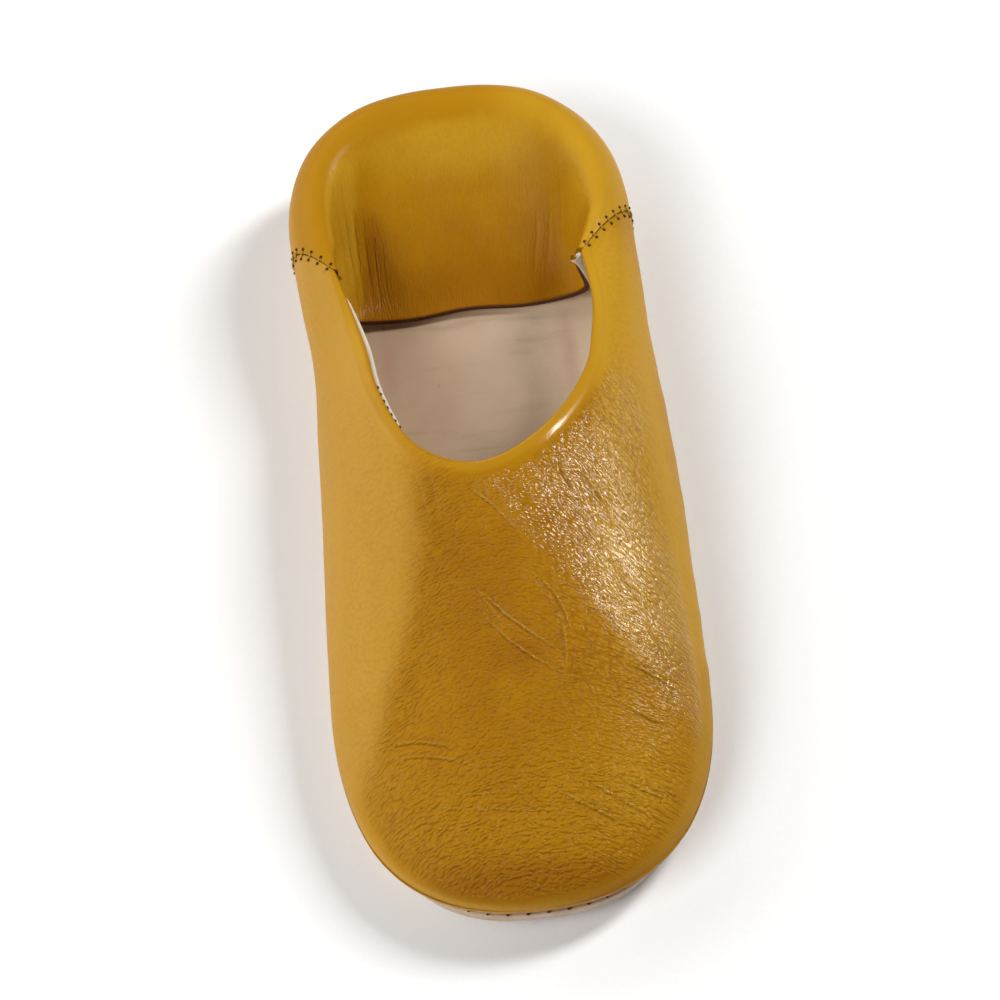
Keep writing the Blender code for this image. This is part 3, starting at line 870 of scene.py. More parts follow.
upperLook = {
    "leather": 0.0009,  # the leather alone, without its lining
    "innerStep": 4,  # the inner side keeps every fourth row and column
    "roll": 0.0010,  # radius of the turned topline
    "turnIn": 0.0060,  # width of the edge turned to the inside
    "bandWidth": 0.0030,  # smooth raised strip along the topline
    "bandRise": 0.00028,
    "bandBorder": 0.0012,  # over which it rises, and over which its colour starts
    "bandFade": 0.0010,
    "seamGap": 0.0004,
    "footDrop": 0.0001,
    "columns": 440,
    "footRows": 28,
    "domeRows": 136,
    "rollRows": 8,
    "turnRows": 8,
    "halfLength": 0.30,  # rough way from the toe to a seam
    "creaseRise": 1.8,
    # waves of the worn leather: slant, random seed, size and height in metres, and the share of that
    # height on the little-toe side
    "waves": ((0.0, 3, 0.0085, 0.00016, 0.35), (0.7, 5, 0.0042, 0.00007, 0.25)),
    # places where each mask is 0 and where it is 1: metres, or the upward part of the normal
    "calmEdge": (0.0, 0.006),
    "calmFoot": (0.0, 0.008),
    "calmSeam": (0.0, 0.010),
    "top": (0.50, 0.85),
    "creaseTop": (0.0, 0.5),  # of the mask before, for creases, wrinkles and gloss, which reach farther
    "wrinkleTop": (0.0, 1.0 / 1.5),
    "glossTop": (0.0, 1.0 / 1.4),
    "medialX": (0.002, 0.016),
    "medialY": (-0.105, -0.075),
    "wing": (0.005, 0.035),  # the smooth side wings behind the throat's front
    "grainEdge": (0.0027, 0.0057),
    "strokeEdge": (0.003, 0.006),
    "strokeFoot": (0.003, 0.013),
    "sideUp": (0.62, 0.27),
    "sideX": (0.02, -0.02),
    "bandSide": (-0.01, -0.02),
    # the pale side's border: distance from the middle line at places from toe to heel, millimetres
    "paleBorder": ((-134.0, -105.0, -80.0, -57.0, -24.0, 4.0, 134.0),
                   (60.0, 50.0, 40.5, 31.0, 23.5, 23.0, 22.0)),
    "paleWave": (7, 0.010, 0.0012),
    "paleFade": (-0.0060, 0.0050),
    "paleToe": (-0.118, -0.088),
    "paleSide": (0.01, 0.0),
    "besidePale": (0.005, 0.009),  # a strip of wrinkles: its distance from the border, its width
    "toeWrinkles": (-0.112, -0.082),
    # the polished part lies between two slanting lines: a place on each, its direction across, and
    # where the polish starts and is full
    "polishFront": ((0.008, -0.037), (0.84, 0.545), (-0.002, 0.005)),
    "polishBack": ((0.0247, -0.0026), (0.904, 0.427), (-0.002, 0.009)),
    "polishWave": (9, 0.006, 0.002),
    "polishEnd": 0.80,
    "polishSpot": ((0.034, -0.088), 0.007, 0.35),  # place, radius and strength
    "mergedSpot": ((0.0345, -0.044), 0.010, 0.35),  # where the glints run together, the grain is lower
    # shares of the marks in places where they are weaker
    "lateralGrain": 0.35,
    "wingGrain": 0.3,
    "wallGrain": 0.25,
    "paleStroke": 0.3,
    "paleWrinkle": 0.2,
    "stroke": (0.85, 0.30, -0.30),  # in general, near the pale border, on the big-toe side
    "bandSideShare": 0.1,
    "gloss": (0.09, 1.0),
    "bandShare": 0.6,
    "tone": (0.40, 0.10),  # in general, and more of it on the walls: painted light
    # the marks' values on the rolled edge, where they aren't 0
    "rolled": {"gloss": 0.12, "tone": 0.55, "band": 0.7, "creaseSideA": 9.0, "creaseSideB": 9.0},
}
# hollows and humps of the worn vamp, millimetres: centre x and y, radii, height
vampSwells = (
    (4, -24, 10, 16, 0.55),
    (25, -24, 8, 17, -0.55),
    (2, -56, 9, 12, -0.35),
    (14, -60, 5, 12, -0.30),
    (22, -52, 6, 14, 0.25),
    (33, -68, 7, 9, 0.25),
    (31, -88, 8, 9, -0.35),
    (-16, -66, 14, 12, 0.25),
    (4, -106, 20, 7, -0.25),
    (-33, -28, 6, 20, -0.35),
    (24, -117, 6, 5, -0.25),
)
# creases of the vamp, millimetres: from, over and to a place in plan, then width and depth
vampCreases = (
    (-7, -20.5, -1.4, -26.3, 5.5, -36, 1.1, 0.26),
    (8, -47, 13.2, -55, 15.2, -63.5, 1.1, 0.34),
    (-8.5, -49, 1.5, -60, 13.5, -70.5, 1.5, 0.42),
    (18.5, -12.5, 19.4, -18.5, 22.6, -25.5, 0.7, 0.20),
    (28, -40, 31.5, -48.5, 39, -55, 0.8, 0.15),
    (22, -29, 24.5, -35.5, 28, -43, 0.7, 0.16),
    (9.5, -14, 14, -21, 17, -29, 0.7, 0.12),
    (-38, -88, -29, -88, -18, -93, 1.1, 0.26),
    (-29, -106, -10, -110, 8, -112, 0.9, 0.14),
    (8.5, -108, 16, -112.5, 25, -118, 1, 0.42),
    (22.5, -103.5, 29, -107.5, 36, -110, 1, 0.42),
    (29, -73.5, 35.5, -76, 42, -80, 0.9, 0.40),
    (-22, -12, -20.5, -19, -19, -27, 0.7, 0.12),
    (-26, -47, -17, -46, -10, -48, 0.7, 0.09),
)
vampCreasesAcross = (
    (-9.5, -52, -1, -65, 14.4, -77, 1.1, 0.26),
    (12.8, -58, 13.4, -66, 12.6, -74, 0.8, 0.18),
    (-9.8, -46.5, -6, -54, -0.3, -63.7, 0.7, 0.12),
    (23, -18, 27.8, -23.6, 30.5, -34.1, 0.8, 0.24),
    (30, -43, 34, -52.5, 38, -60, 0.8, 0.12),
    (-36, -92, -27, -92.5, -13, -98, 0.9, 0.20),
    (-33, -101, -15, -105, 6, -106.5, 0.9, 0.12),
    (14, -104, 22, -109.5, 31, -115, 0.9, 0.38),
    (27, -84, 33, -88, 40, -90, 0.9, 0.36),
    (-18.5, -11, -17, -19, -16.5, -28, 0.7, 0.11),
    (36, -60, 39, -67, 41, -72, 0.7, 0.18),
)
# painted light and shade: lighter where light falls on the walls and on the big-toe shoulder's highlight,
# darker on the shaded vamp top and the toe's front, as for the swells
vampLightAndShade = (
    (-6, -52, 20, 26, -0.20),
    (0, -90, 26, 12, -0.14),
    (0, -128, 34, 6, -0.40),
    (34, -40, 10, 34, 0.42),
    (16, -14, 12, 10, 0.16),
    (38, 4, 9, 26, 0.45),
    (42, 42, 9, 30, 0.85),
    (47, -40, 8, 50, 0.50),
    (33, -46, 9, 18, 0.40),
    (2, -68, 13, 5, -0.16),
    (30, -98, 13, 16, 0.22),
    (24, -114, 15, 10, 0.20),
    (-42, -50, 8, 60, 0.45),
    (-36, 30, 9, 34, 0.42),
)


def upperGrid(look):
    # foot rows, then rows from the widest line in to the throat: heights of the dome, and near the seams
    # of the fold. Returns the grid, and its columns' places from -1 at one seam to 1 at the other.
    lateral, tip, medial, _ = seamFeet()
    share = np.linspace(-1.0, 1.0, look["columns"] + 1)
    reach = np.where(share < 0.0, tip - lateral, medial - tip) - look["seamGap"] / 2.0
    feet = atLengths(wholeOutline, tip + share * reach)
    path = throatPath()
    half = runLengths(path)[-1] / 2.0
    even, power = throat["spread"]
    spread = np.sign(share) * mixed(np.abs(share) ** power, np.abs(share), even)
    tops = atLengths(path, half + spread * (half - look["seamGap"] / 2.0))
    nearSeam = rise(np.abs(share), 1.0 - throat["seamBlend"], 1.0)
    inward = inwardShares(look["domeRows"])[:, None]
    spot = feet[None, :, :2] + inward[..., None] * (tops - feet[:, :2])
    dome = domeHeight(spot[..., 0], spot[..., 1])
    body = np.dstack((spot, mixed(dome, foldHeight(feet[:, 2][None], inward), nearSeam)))
    return np.concatenate((footRows(feet, look["footRows"], look["footDrop"]), body)), share


def rolledEdge(body, look):
    # the topline: half a circle of the roll's radius, then back down inside at twice that distance
    edge, normal, radius = body[-1], gridNormals(body)[-1], look["roll"]
    back = edge - body[-2]
    along = unit(back - (back * normal).sum(1, keepdims=True) * normal)
    angle = np.linspace(0.0, np.pi, look["rollRows"] + 1)[1:, None, None]
    rolled = edge + radius * (np.sin(angle) * along - (1.0 - np.cos(angle)) * normal)
    share = np.linspace(0.0, 1.0, look["turnRows"] + 1)[1:, None, None]
    return np.concatenate((body, rolled, edge - 2.0 * radius * normal - along * look["turnIn"] * share))


lattice = 80  # places along each side of the square of random heights


def wavyRelief(x, y, seed, size, height):
    # value noise: random heights on a square lattice, joined with smooth steps
    values = np.random.default_rng(seed).uniform(-1.0, 1.0, (lattice, lattice))
    column, row = x / size + lattice / 2.0, y / size + lattice / 2.0
    i, j = np.floor(column).astype(int), np.floor(row).astype(int)
    u, v = smooth(column - i), smooth(row - j)
    low = mixed(values[i, j], values[i + 1, j], u)
    return height * mixed(low, mixed(values[i, j + 1], values[i + 1, j + 1], u), v)


flowBend = {
    "least": 0.005,
    "most": (0.003, 0.015),  # more at the throat, on the little-toe side and on the big-toe side
    "from": (-0.105, -0.020),
}


def flowAcross(x, y):
    # the leather's wrinkles are arcs round the throat: y + k x squared is the same all along one of
    # them, and k grows from toe to throat, most on the big-toe side. In millimetres.
    lateral, medial = flowBend["most"]
    bend = flowBend["least"] + np.where(x > 0.0, medial, lateral) * rise(y, *flowBend["from"])
    return y * 1000.0 + bend * (x * 1000.0) ** 2


def slantedMask(x, y, line, waves=0.0):
    # across a slanting line: the distance from it, rising from 0 to 1
    (lineX, lineY), (acrossX, acrossY), ends = line
    return rise((x - lineX) * acrossX + (y - lineY) * acrossY + waves, *ends)


def spotMask(x, y, spot):
    # a round spot: its strength times bell(distance, radius)
    (spotX, spotY), radius, most = spot
    return most * bell(np.hypot(x - spotX, y - spotY), radius)


def buildUpper():
    # the grid moved out along its normals by swells, waves, the topline's band and the creases
    look = upperLook
    body, share = upperGrid(look)
    normal = gridNormals(body)
    x, y, up = body[..., 0] - planMiddle[0], body[..., 1], normal[..., 2]
    fromFoot = runLengths(body)
    fromEdge = fromFoot[-1] - fromFoot  # way up the leather to the topline
    fromSeam = np.abs(np.abs(share) - 1.0)[None] * look["halfLength"]
    calm = (rise(fromEdge, *look["calmEdge"]) * rise(fromFoot, *look["calmFoot"])
            * rise(fromSeam, *look["calmSeam"]))
    top = rise(up, *look["top"])  # 1 where the leather faces up, 0 on the side walls
    medial = rise(x, *look["medialX"]) * rise(y, *look["medialY"])
    polish = slantedMask(x, y, look["polishFront"], wavyRelief(x, y, *look["polishWave"]))
    polish *= 1.0 - look["polishEnd"] * slantedMask(x, y, look["polishBack"])
    polish = np.maximum(polish, spotMask(x, y, look["polishSpot"]))
    merged = 1.0 - spotMask(x, y, look["mergedSpot"])
    # the pale, matt side, its lighter colour partly painted light: its border runs from the toe's side up to
    # the throat's
    bound = curveThrough(*(np.array(v) / 1000.0 for v in look["paleBorder"]), y)
    bound = bound + wavyRelief(x, y, *look["paleWave"])
    pale = rise(-x - bound, *look["paleFade"]) * rise(y, *look["paleToe"]) * rise(x, *look["paleSide"])
    away, width = look["besidePale"]
    border = np.maximum(bell(x + bound - away, width), 1.0 - rise(y, *look["toeWrinkles"])) * (1.0 - medial)
    border *= mixed(1.0, look["paleWrinkle"], pale)
    band = rise(fromEdge, look["bandWidth"], look["bandWidth"] - look["bandFade"])
    groups = [creaseRelief(x, y, rows) for rows in (vampCreases, vampCreasesAcross)]
    relief = swellRelief(x, y, vampSwells)
    for slant, seed, size, height, weakest in look["waves"]:
        relief += wavyRelief(x + y * slant, y, seed, size, height) * mixed(weakest, 1.0, medial)
    relief *= calm
    relief += look["bandRise"] * rise(fromEdge, look["bandWidth"], look["bandWidth"] - look["bandBorder"])
    body = body + normal * relief[..., None]
    uncreased = rolledEdge(body, look)
    creases = look["creaseRise"] * (groups[0][0] + groups[1][0]) * rise(top, *look["creaseTop"]) * calm
    body = body + normal * creases[..., None]
    whole = rolledEdge(body, look)
    vamp = 1.0 - rise(y, *look["wing"])
    onTop = top * rise(fromEdge, *look["grainEdge"])
    general, nearBorder, onMedial = look["stroke"]
    worked = vamp * rise(fromFoot, *look["strokeFoot"])
    marks = {
        "grain": np.maximum(onTop * mixed(look["lateralGrain"], 1.0, medial) * merged
                            * mixed(look["wingGrain"], 1.0, vamp), look["wallGrain"] * (1.0 - top)),
        "stroke": top * rise(fromEdge, *look["strokeEdge"]) * merged * mixed(1.0, look["paleStroke"], pale)
        * (general + nearBorder * border + onMedial * medial) * worked,
        "wrinkle": rise(top, *look["wrinkleTop"]) * border * worked,
        "crackle": onTop * medial * vamp,
        # painted reflection and light on walls facing sideways on the little-toe side and on the pale side,
        # whose leather is also paler and matter
        "side": np.maximum(rise(up, *look["sideUp"]) * rise(x, *look["sideX"]), pale)
        * mixed(1.0, look["bandSideShare"], band),
        "gloss": mixed(*look["gloss"], polish * vamp * rise(top, *look["glossTop"])),
        # painted light and shade, lighter on the walls
        "tone": look["tone"][0] + swellRelief(x, y, vampLightAndShade) * 1000.0 + look["tone"][1] * (1.0 - top),
        "band": band * mixed(1.0, look["bandShare"], rise(x, *look["bandSide"])),
        "flowAcross": flowAcross(x, y),
        "flowAlong": x * 1000.0,
    }
    for group, (_, side, weight) in zip("AB", groups):
        marks["creaseSide" + group] = side
        marks["creaseWeight" + group] = weight * calm * top
    for mark, values in marks.items():
        end = np.full((len(whole) - len(body), x.shape[1]), look["rolled"].get(mark, 0.0))
        marks[mark] = np.vstack((values, end))
    piece = leatherShell("upperLeather", whole, uncreased, look["leather"], look["innerStep"],
                         [ochre, creamLining, ochre], marks)
    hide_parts("upper")
    return body, normal, whole


upperBody, upperNormal, upperWhole = buildUpper()
print("upper made")


# the lining of the upper, its top edge a pale line along the inside of the topline

liningLook = {
    "thickness": 0.0008,
    "depth": 0.024,  # how far down inside the wall it reaches
    "behind": 0.00225,  # outer face of the leather to the face of the lining on it
    "shows": 0.0016,  # how far its edge stands out past the topline on the lateral side
    "hides": -0.0030,  # and at the throat's front and on the big-toe side
    # places where it doesn't show and where it shows: across, then from toe to heel, at both ends
    "shownX": (-0.006, -0.018),
    "shownFront": (-0.002, 0.008),
    "shownBack": (0.0655, 0.0555),
    "outPower": 6,  # how late down from its edge it bends outwards
    "rows": 30,
    "columnStep": 2,
}


def buildLining():
    # a strip that follows the wall's inner side and comes out under the turned topline. Row by row it
    # goes down the same way as the leather, its distance from the topline falling evenly.
    look = liningLook
    run = runLengths(upperBody)
    inner = upperBody - upperNormal * look["behind"]
    shares = np.linspace(0.0, 1.0, look["rows"] + 1)
    edge = upperBody[-1]
    out = unit(edge - upperBody[-3])
    lateral = (rise(edge[:, 0], *look["shownX"]) * rise(edge[:, 1], *look["shownFront"])
               * rise(edge[:, 1], *look["shownBack"]))
    stand = mixed(look["hides"], look["shows"], lateral)
    ways = run[-1] - look["depth"] * (1.0 - shares[:, None])
    ways = np.minimum(ways, run[-1] + np.minimum(stand, 0.0))
    grid = downColumns(inner, run, ways)[:, :: look["columnStep"]]
    tip = (out * np.maximum(stand, 0.0)[:, None])[:: look["columnStep"]]
    grid += tip[None] * (shares[:, None, None] ** look["outPower"])
    piece = leatherShell("vampLining", grid, grid, look["thickness"], 1, [creamLining] * 3)


buildLining()
print("lining made")


# the heel piece: outer wall, fold and flap in one piece of leather

heelLook = {
    "thickness": 0.0016,
    "innerStep": 4,
    "seamGap": 0.0004,
    "footDrop": 0.0001,
    "columns": 300,
    "footRows": 20,
    "foldRows": 40,
    "flapRows": 80,
    "creaseRise": 0.55,
    # waves: random seed, size and height in metres, first everywhere and then on the flap, where they
    # are drawn out downwards
    "waves": (11, 0.012, 0.00014),
    "flapWaves": (12, 0.007, 0.00007),
    "flapDrawn": 2.2,
    # places where each mask is 0 and where it is 1: rows past the crest, metres, or the upward part of
    # the normal
    "flap": (4, 18),
    "calmFoot": (0.0, 0.006),
    "calmEdge": (0.0, 0.004),
    "calmSeam": (0.0, 0.012),  # of share times (1 - share)
    "rawMargin": (0.0010, 0.0003),
    "sideUp": (0.55, 0.15),
    "toneSide": (0.0, 0.03),
    # the free edge's two slow waves: height in metres, turns in radians over the edge, and start
    "edgeWaves": ((0.0007, 9.0, 0.6), (0.0004, 23.0, 0.0)),
    "edgeWaveWidth": 0.007,
    "grain": (0.10, 0.20),  # marks on the wall and on the flap
    "stroke": 0.16,
    "gloss": 0.06,
    # on the wall, side and band give the pale lit colour and a lighter one: painted light
    "side": 0.6,
    "band": 0.3,
    "creaseWeight": 0.5,
    "tone": (0.42, 0.04, 0.45),  # in general, then painted light: more on the wall, and more there on the big-toe side
    # wrinkles on the whole flap, then in two places: x and y, widths, strength
    "wrinkle": 0.14,
    "wrinklePlaces": ((-0.0295, 0.082, 0.007, 0.026, 0.45), (0.023, 0.085, 0.008, 0.016, 0.14)),
    "flowScale": (2000.0, 800.0),  # cells of the flow run down the flap
}
# soft folds of the flap, millimetres in plan, as for the vamp
flapCreases = (
    (-36, 99, -36.2, 88, -35.5, 74, 0.8, 0.22),
    (-33.6, 101, -34.2, 90, -33.4, 71, 0.8, 0.34),
    (-31, 99, -31.6, 88, -31.2, 70, 0.8, 0.42),
    (-28.6, 97, -29, 86, -29, 69, 0.8, 0.46),
    (-26.2, 95, -26.8, 84, -26.6, 70, 0.8, 0.34),
    (-24, 90, -24.6, 82, -24.4, 72, 0.8, 0.18),
    (29.5, 98, 29, 90, 27.5, 78, 0.9, 0.20),
    (26, 95, 25, 87, 23, 77, 0.9, 0.22),
    (22, 92, 21, 85, 18.5, 75, 0.9, 0.16),
)
flapSwells = (
    (-27.5, 82, 4.5, 18, -0.80),
    (-36, 90, 4, 16, 0.40),
    (23, 88, 7, 14, -0.50),
    (0, 96, 18, 14, 0.40),
)
# painted light and shade on the flap, as for the swells: lighter at the top and along both rims, darker in
# its folds and low down
flapLightAndShade = (
    (0, 112, 34, 14, 0.58),
    (-27.5, 78, 3.8, 20, -0.60),
    (-28, 70, 7, 8, -0.20),
    (24, 86, 6, 14, -0.12),
    (0, 72, 40, 9, -0.34),
    (0, 90, 24, 12, -0.20),
    (-37, 92, 6, 22, 1.00),
    (36, 88, 6, 16, 0.40),
)


def freeEdge(count):
    # the flap's free edge in section is a U: x goes with cos, height with sin, both squared off
    path = throatPath()
    right = path[-1, 0] - heelFold["cornerInMedial"]
    left = path[0, 0] + heelFold["cornerInLateral"]
    bottom = (last["soleThickness"] + last["gap"] + last["insoleThickness"] + heelFold["lift"]
              + heelFold["wall"])
    top = crestHeight(1.0) - heelFold["cornerDown"]
    angle = np.linspace(0.0, np.pi, samples)
    across = np.abs(np.cos(angle)) ** (2.0 / heelFold["edgeSquare"])
    depth = np.sin(angle) ** (2.0 / heelFold["edgeSquare"])
    half = (right - left) / 2.0 + heelFold["spread"] * depth
    x = (right + left) / 2.0 + half * np.sign(np.cos(angle)) * across
    corner = heelFold["cornerBack"] + seamTop((1.0 + np.cos(angle)) / 2.0)
    y = mixed(corner, last["length"] / 2.0 - heelFold["flapLength"], smooth(np.sin(angle)))
    edge = np.column_stack((x, y, mixed(top, bottom, depth)))
    run = runLengths(edge[:, [0, 2]])
    return atPlaces(np.linspace(0.0, run[-1], count), run, edge)


def heelGrid(look):
    # foot rows, rows up and in to the crest, then the flap: cubic curves from crest to free edge, level
    # at the crest. Returns the grid, and its columns' places from 0 at one seam to 1 at the other.
    lateral, _, medial, whole = seamFeet()
    twice = np.vstack((wholeOutline, wholeOutline[1:]))
    share = np.linspace(0.0, 1.0, look["columns"] + 1)
    reach = whole - medial + lateral - look["seamGap"]
    feet = atLengths(twice, medial + look["seamGap"] / 2.0 + share * reach)
    path = crestPath()
    reach = runLengths(path)[-1] - look["seamGap"]
    tops = atLengths(path, look["seamGap"] / 2.0 + share * reach)
    inward = inwardShares(look["foldRows"])[:, None]
    spot = feet[None, :, :2] + inward[..., None] * (tops - feet[:, :2])
    wall = np.dstack((spot, foldHeight(feet[:, 2][None], inward)))
    crest = wall[-1]
    edge = freeEdge(len(share))
    roll = mixed(heelFold["rollSide"], heelFold["rollBack"], np.sin(share * np.pi) ** 2)
    roll = np.minimum(roll, heelFold["rollLimit"] * np.linalg.norm(crest - edge, axis=1))
    level = np.column_stack((-planNormals(crest) * roll[:, None], np.zeros(len(share))))
    along, down = heelFold["lean"]
    lean = (crest - edge) * (along, along, down)
    t = np.linspace(0.0, 1.0, look["flapRows"] + 1)[1:, None, None]
    flap = (1 - t) ** 3 * crest + 3 * (1 - t) ** 2 * t * (crest + level)
    flap = flap + 3 * (1 - t) * t**2 * (edge + lean) + t**3 * edge
    return np.concatenate((footRows(feet, look["footRows"], look["footDrop"]), wall, flap)), share


def buildHeel():
    # the grid moved along its normals by folds, swells and waves
    look = heelLook
    body, share = heelGrid(look)
    normal = gridNormals(body)
    x, y, z = body[..., 0] - planMiddle[0], body[..., 1], body[..., 2]
    run = runLengths(body)
    fromEdge = run[-1] - run
    pastCrest = np.arange(len(body)) - (look["footRows"] + look["foldRows"] + 1)
    onFlap = rise(pastCrest, *look["flap"])[:, None] * np.ones(x.shape)
    creases, side, weight = creaseRelief(x, y, flapCreases)
    relief = (look["creaseRise"] * creases + swellRelief(x, y, flapSwells)) * onFlap
    relief += wavyRelief(x, y + z, *look["waves"])
    relief += wavyRelief(x * look["flapDrawn"], y + z, *look["flapWaves"]) * onFlap
    relief *= rise(run, *look["calmFoot"]) * rise(fromEdge, *look["calmEdge"])
    relief *= rise(share * (1.0 - share), *look["calmSeam"])[None]
    # the free edge isn't quite straight: it moves up and down by two slow waves
    slide = sum(height * np.sin(share * turns + start) for height, turns, start in look["edgeWaves"])
    slide = slide * np.sin(np.pi * share) ** 0.5
    along = unit(np.gradient(body, axis=0))
    body = body + normal * relief[..., None]
    body += along * (slide[None] * bell(fromEdge, look["edgeWaveWidth"]) * onFlap)[..., None]
    tone, wallLight, medialLight = look["tone"]
    onWall = 1.0 - onFlap
    wrinkles = sum((most * bell(x - atX, wide) * bell(y - atY, high)
                    for atX, atY, wide, high, most in look["wrinklePlaces"]), look["wrinkle"])
    marks = {
        "grain": mixed(*look["grain"], onFlap),
        "stroke": look["stroke"] * onFlap,
        "wrinkle": onFlap * wrinkles,
        "gloss": np.full(x.shape, look["gloss"]),
        # painted light: the pale lit colour on walls facing sideways, and a lighter tone and band on the
        # outer wall and fold
        "side": look["side"] * rise(normal[..., 2], *look["sideUp"]) * onWall,
        "tone": tone + swellRelief(x, y, flapLightAndShade) * 1000.0 * onFlap
        + (wallLight + medialLight * rise(x, *look["toneSide"])) * onWall,
        "band": look["band"] * onWall,
        "margin": rise(fromEdge, *look["rawMargin"]),
        "creaseSideA": side,
        "creaseWeightA": weight * onFlap * look["creaseWeight"],
        "flowAcross": x * look["flowScale"][0],
        "flowAlong": y * look["flowScale"][1],
    }
    piece = leatherShell("heelLeather", body, body, look["thickness"], look["innerStep"],
                         [ochre, creamLining, edgeBrown], marks)
    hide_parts("heel_quarter")
    return body


heelBody = buildHeel()
print("heel piece made")


# sole and insole: flat leather cut to the outline, edges rounded

soleLook = {"inset": -0.0009, "round": 0.0007, "roundRows": 5, "stations": 110, "innerRows": 12}
insoleLook = {"inset": 0.0026, "round": 0.0005, "roundRows": 5, "stations": 90, "innerRows": 12}


def plate(name, look, thickness, base, material):
    # one ring for each place of the profile: in from the middle below, round the edge, and in above.
    # The outline lies the wall's tuck and the inset inside the last's, the base above the sole's top.
    share = 0.5 - 0.5 * np.cos(np.linspace(0.0, np.pi, look["stations"] + 1))
    sides = []
    for side in (-1.0, 1.0):
        path = sideOutline(side)
        spots = atLengths(path, share * runLengths(path[:, :2])[-1])
        outward = planNormals(spots) * side
        outward[0] = (0.0, -1.0)
        outward[-1] = (0.0, 1.0)
        sides.append((spots[:, :2], (tuckAt(spots[:, 2]) + look["inset"])[:, None], outward))

    def ring(extra, share, height):
        edges = [spots - (inset + extra) * outward for spots, inset, outward in sides]
        middle = (edges[0] + edges[1]) / 2.0
        lateral, medial = (edge * (1.0 - share) + middle * share for edge in edges)
        plan = np.vstack((lateral[::-1], medial[1:-1]))
        return np.column_stack((plan, soleTop(station(plan[:, 1])) + base + height))

    turn = look["round"]
    shares = np.linspace(1.0, 0.0, look["innerRows"])
    corner = [(turn * (1.0 - math.sin(a)), turn * (1.0 - math.cos(a)))
              for a in np.linspace(0.0, np.pi / 2.0, look["roundRows"])]
    profile = [(turn, s, 0.0) for s in shares[:-1]] + [(extra, 0.0, height) for extra, height in corner]
    profile += [(height, 0.0, thickness - extra) for extra, height in corner]
    profile += [(turn, s, thickness) for s in shares[-2::-1]]
    return ringPiece(name, np.array([ring(*place) for place in profile]), material)


def buildSoles():
    # two plates, which keep to the curve of the last's underside
    piece = plate("soleLeather", soleLook, last["soleThickness"], -last["soleThickness"], soleTan)
    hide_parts("outsole")
    piece = plate("insoleLeather", insoleLook, last["insoleThickness"], last["gap"], insolePale)
    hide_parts("insole")


buildSoles()
print("soles made")


# stitches

stitchLook = {
    "sides": 6,  # of each short piece of thread, and steps along it
    "steps": 6,
    # radius, rise over the leather and how far the ends go in, in metres
    "sole": (0.00042, 0.0002, 0.0001),
    "seam": (0.00030, 0.00028, 0.0002),
    "hole": (0.00040, 0.0001, 0.0),
    "lining": (0.00034, 0.0002, 0.0001),
    "tuft": (0.00020, 0.0003, 0.0),
    "soleStep": 0.0056,
    "soleEnds": ((0.0001, 0.0007), (0.0006, 0.0001)),  # out from the wall's foot and up from the sole
    "soleLean": (0.8, 0.6),
    "seamStep": 0.0038,
    "seamColumns": ((2, -2), (-3, 1)),  # of the heel piece and of the upper, at each seam
    "seamFirst": 0.8,  # place of the first stitch, and how far it slants, in steps
    "seamSlant": 0.45,
    "holeBeyond": 0.0002,
    "holeLength": 0.0005,
    "liningStep": 0.0029,
    "liningFrom": 0.0050,  # places from toe to heel between which the lining's stitches show
    "liningTo": 0.0230,
    "liningHalf": 0.00035,
    # the tied-off thread: row of the upper's edge, first place from there, directions in radians and
    # lengths of its five ends, and which way they curl up
    "tuftRow": -12,
    "tuftFrom": (-0.0004, 0.0, 0.0002),
    "tuftTurns": (3.5, 3.9, 4.25, 4.6, 5.0),
    "tuftReach": (0.0013, 0.0019, 0.0025, 0.0017, 0.0012),
    "tuftRise": 0.0003,
    "tuftUp": (0.0, -0.4, 0.9),
}


def threadRow(name, starts, ends, ups, shape, material):
    # short arcs of thread: from start to end, raised by a sine, both ends sunk into the leather
    sides, steps = stitchLook["sides"], stitchLook["steps"]
    radius, lift, sink = shape
    s = np.linspace(0.0, 1.0, steps + 1)[None, :, None]
    arch = np.sin(np.pi * s)
    middle = starts[:, None] * (1 - s) + ends[:, None] * s
    middle = middle + ups[:, None] * (lift * arch - sink * (1.0 - arch))
    along = unit(np.gradient(middle, axis=1))
    across = unit(np.cross(along, ups[:, None]))
    raised = np.cross(across, along)
    angle = np.linspace(0.0, 2.0 * np.pi, sides, endpoint=False)
    ring = np.cos(angle)[:, None] * across[:, :, None] + np.sin(angle)[:, None] * raised[:, :, None]
    first = np.arange(len(starts))[:, None] * (steps + 1) * sides
    body = (gridQuads(steps + 1, sides, around=True, flip=True)[None] + first[..., None]).reshape(-1, 4)
    caps = first + np.arange(sides)
    faces = body.tolist() + caps.tolist() + (caps[:, ::-1] + steps * sides).tolist()
    points = (middle[:, :, None] + ring * radius).reshape(-1, 3) - planMiddle
    return addPiece(name, points, faces, [material])


def soleStitches():
    # at the joint of wall and sole: a short stitch down from the wall's foot onto the sole's margin
    look = stitchLook
    run = runLengths(wholeOutline[:, :2])[-1]
    spots = atLengths(wholeOutline, np.arange(0.0, run, look["soleStep"]))
    outward = planNormals(spots)
    outward *= np.sign(-outward[len(outward) // 2, 1])  # at the toe, outwards is towards -Y
    at = spots[:, 2]
    wall = spots[:, :2] - tuckAt(at)[:, None] * outward
    starts, ends = (np.column_stack((wall + outward * out, soleTop(at) + up)) for out, up in look["soleEnds"])
    out, up = look["soleLean"]
    ups = np.column_stack((outward * out, np.full(len(at), up)))
    piece = threadRow("soleStitches", starts, ends, ups, look["sole"], brownThread)


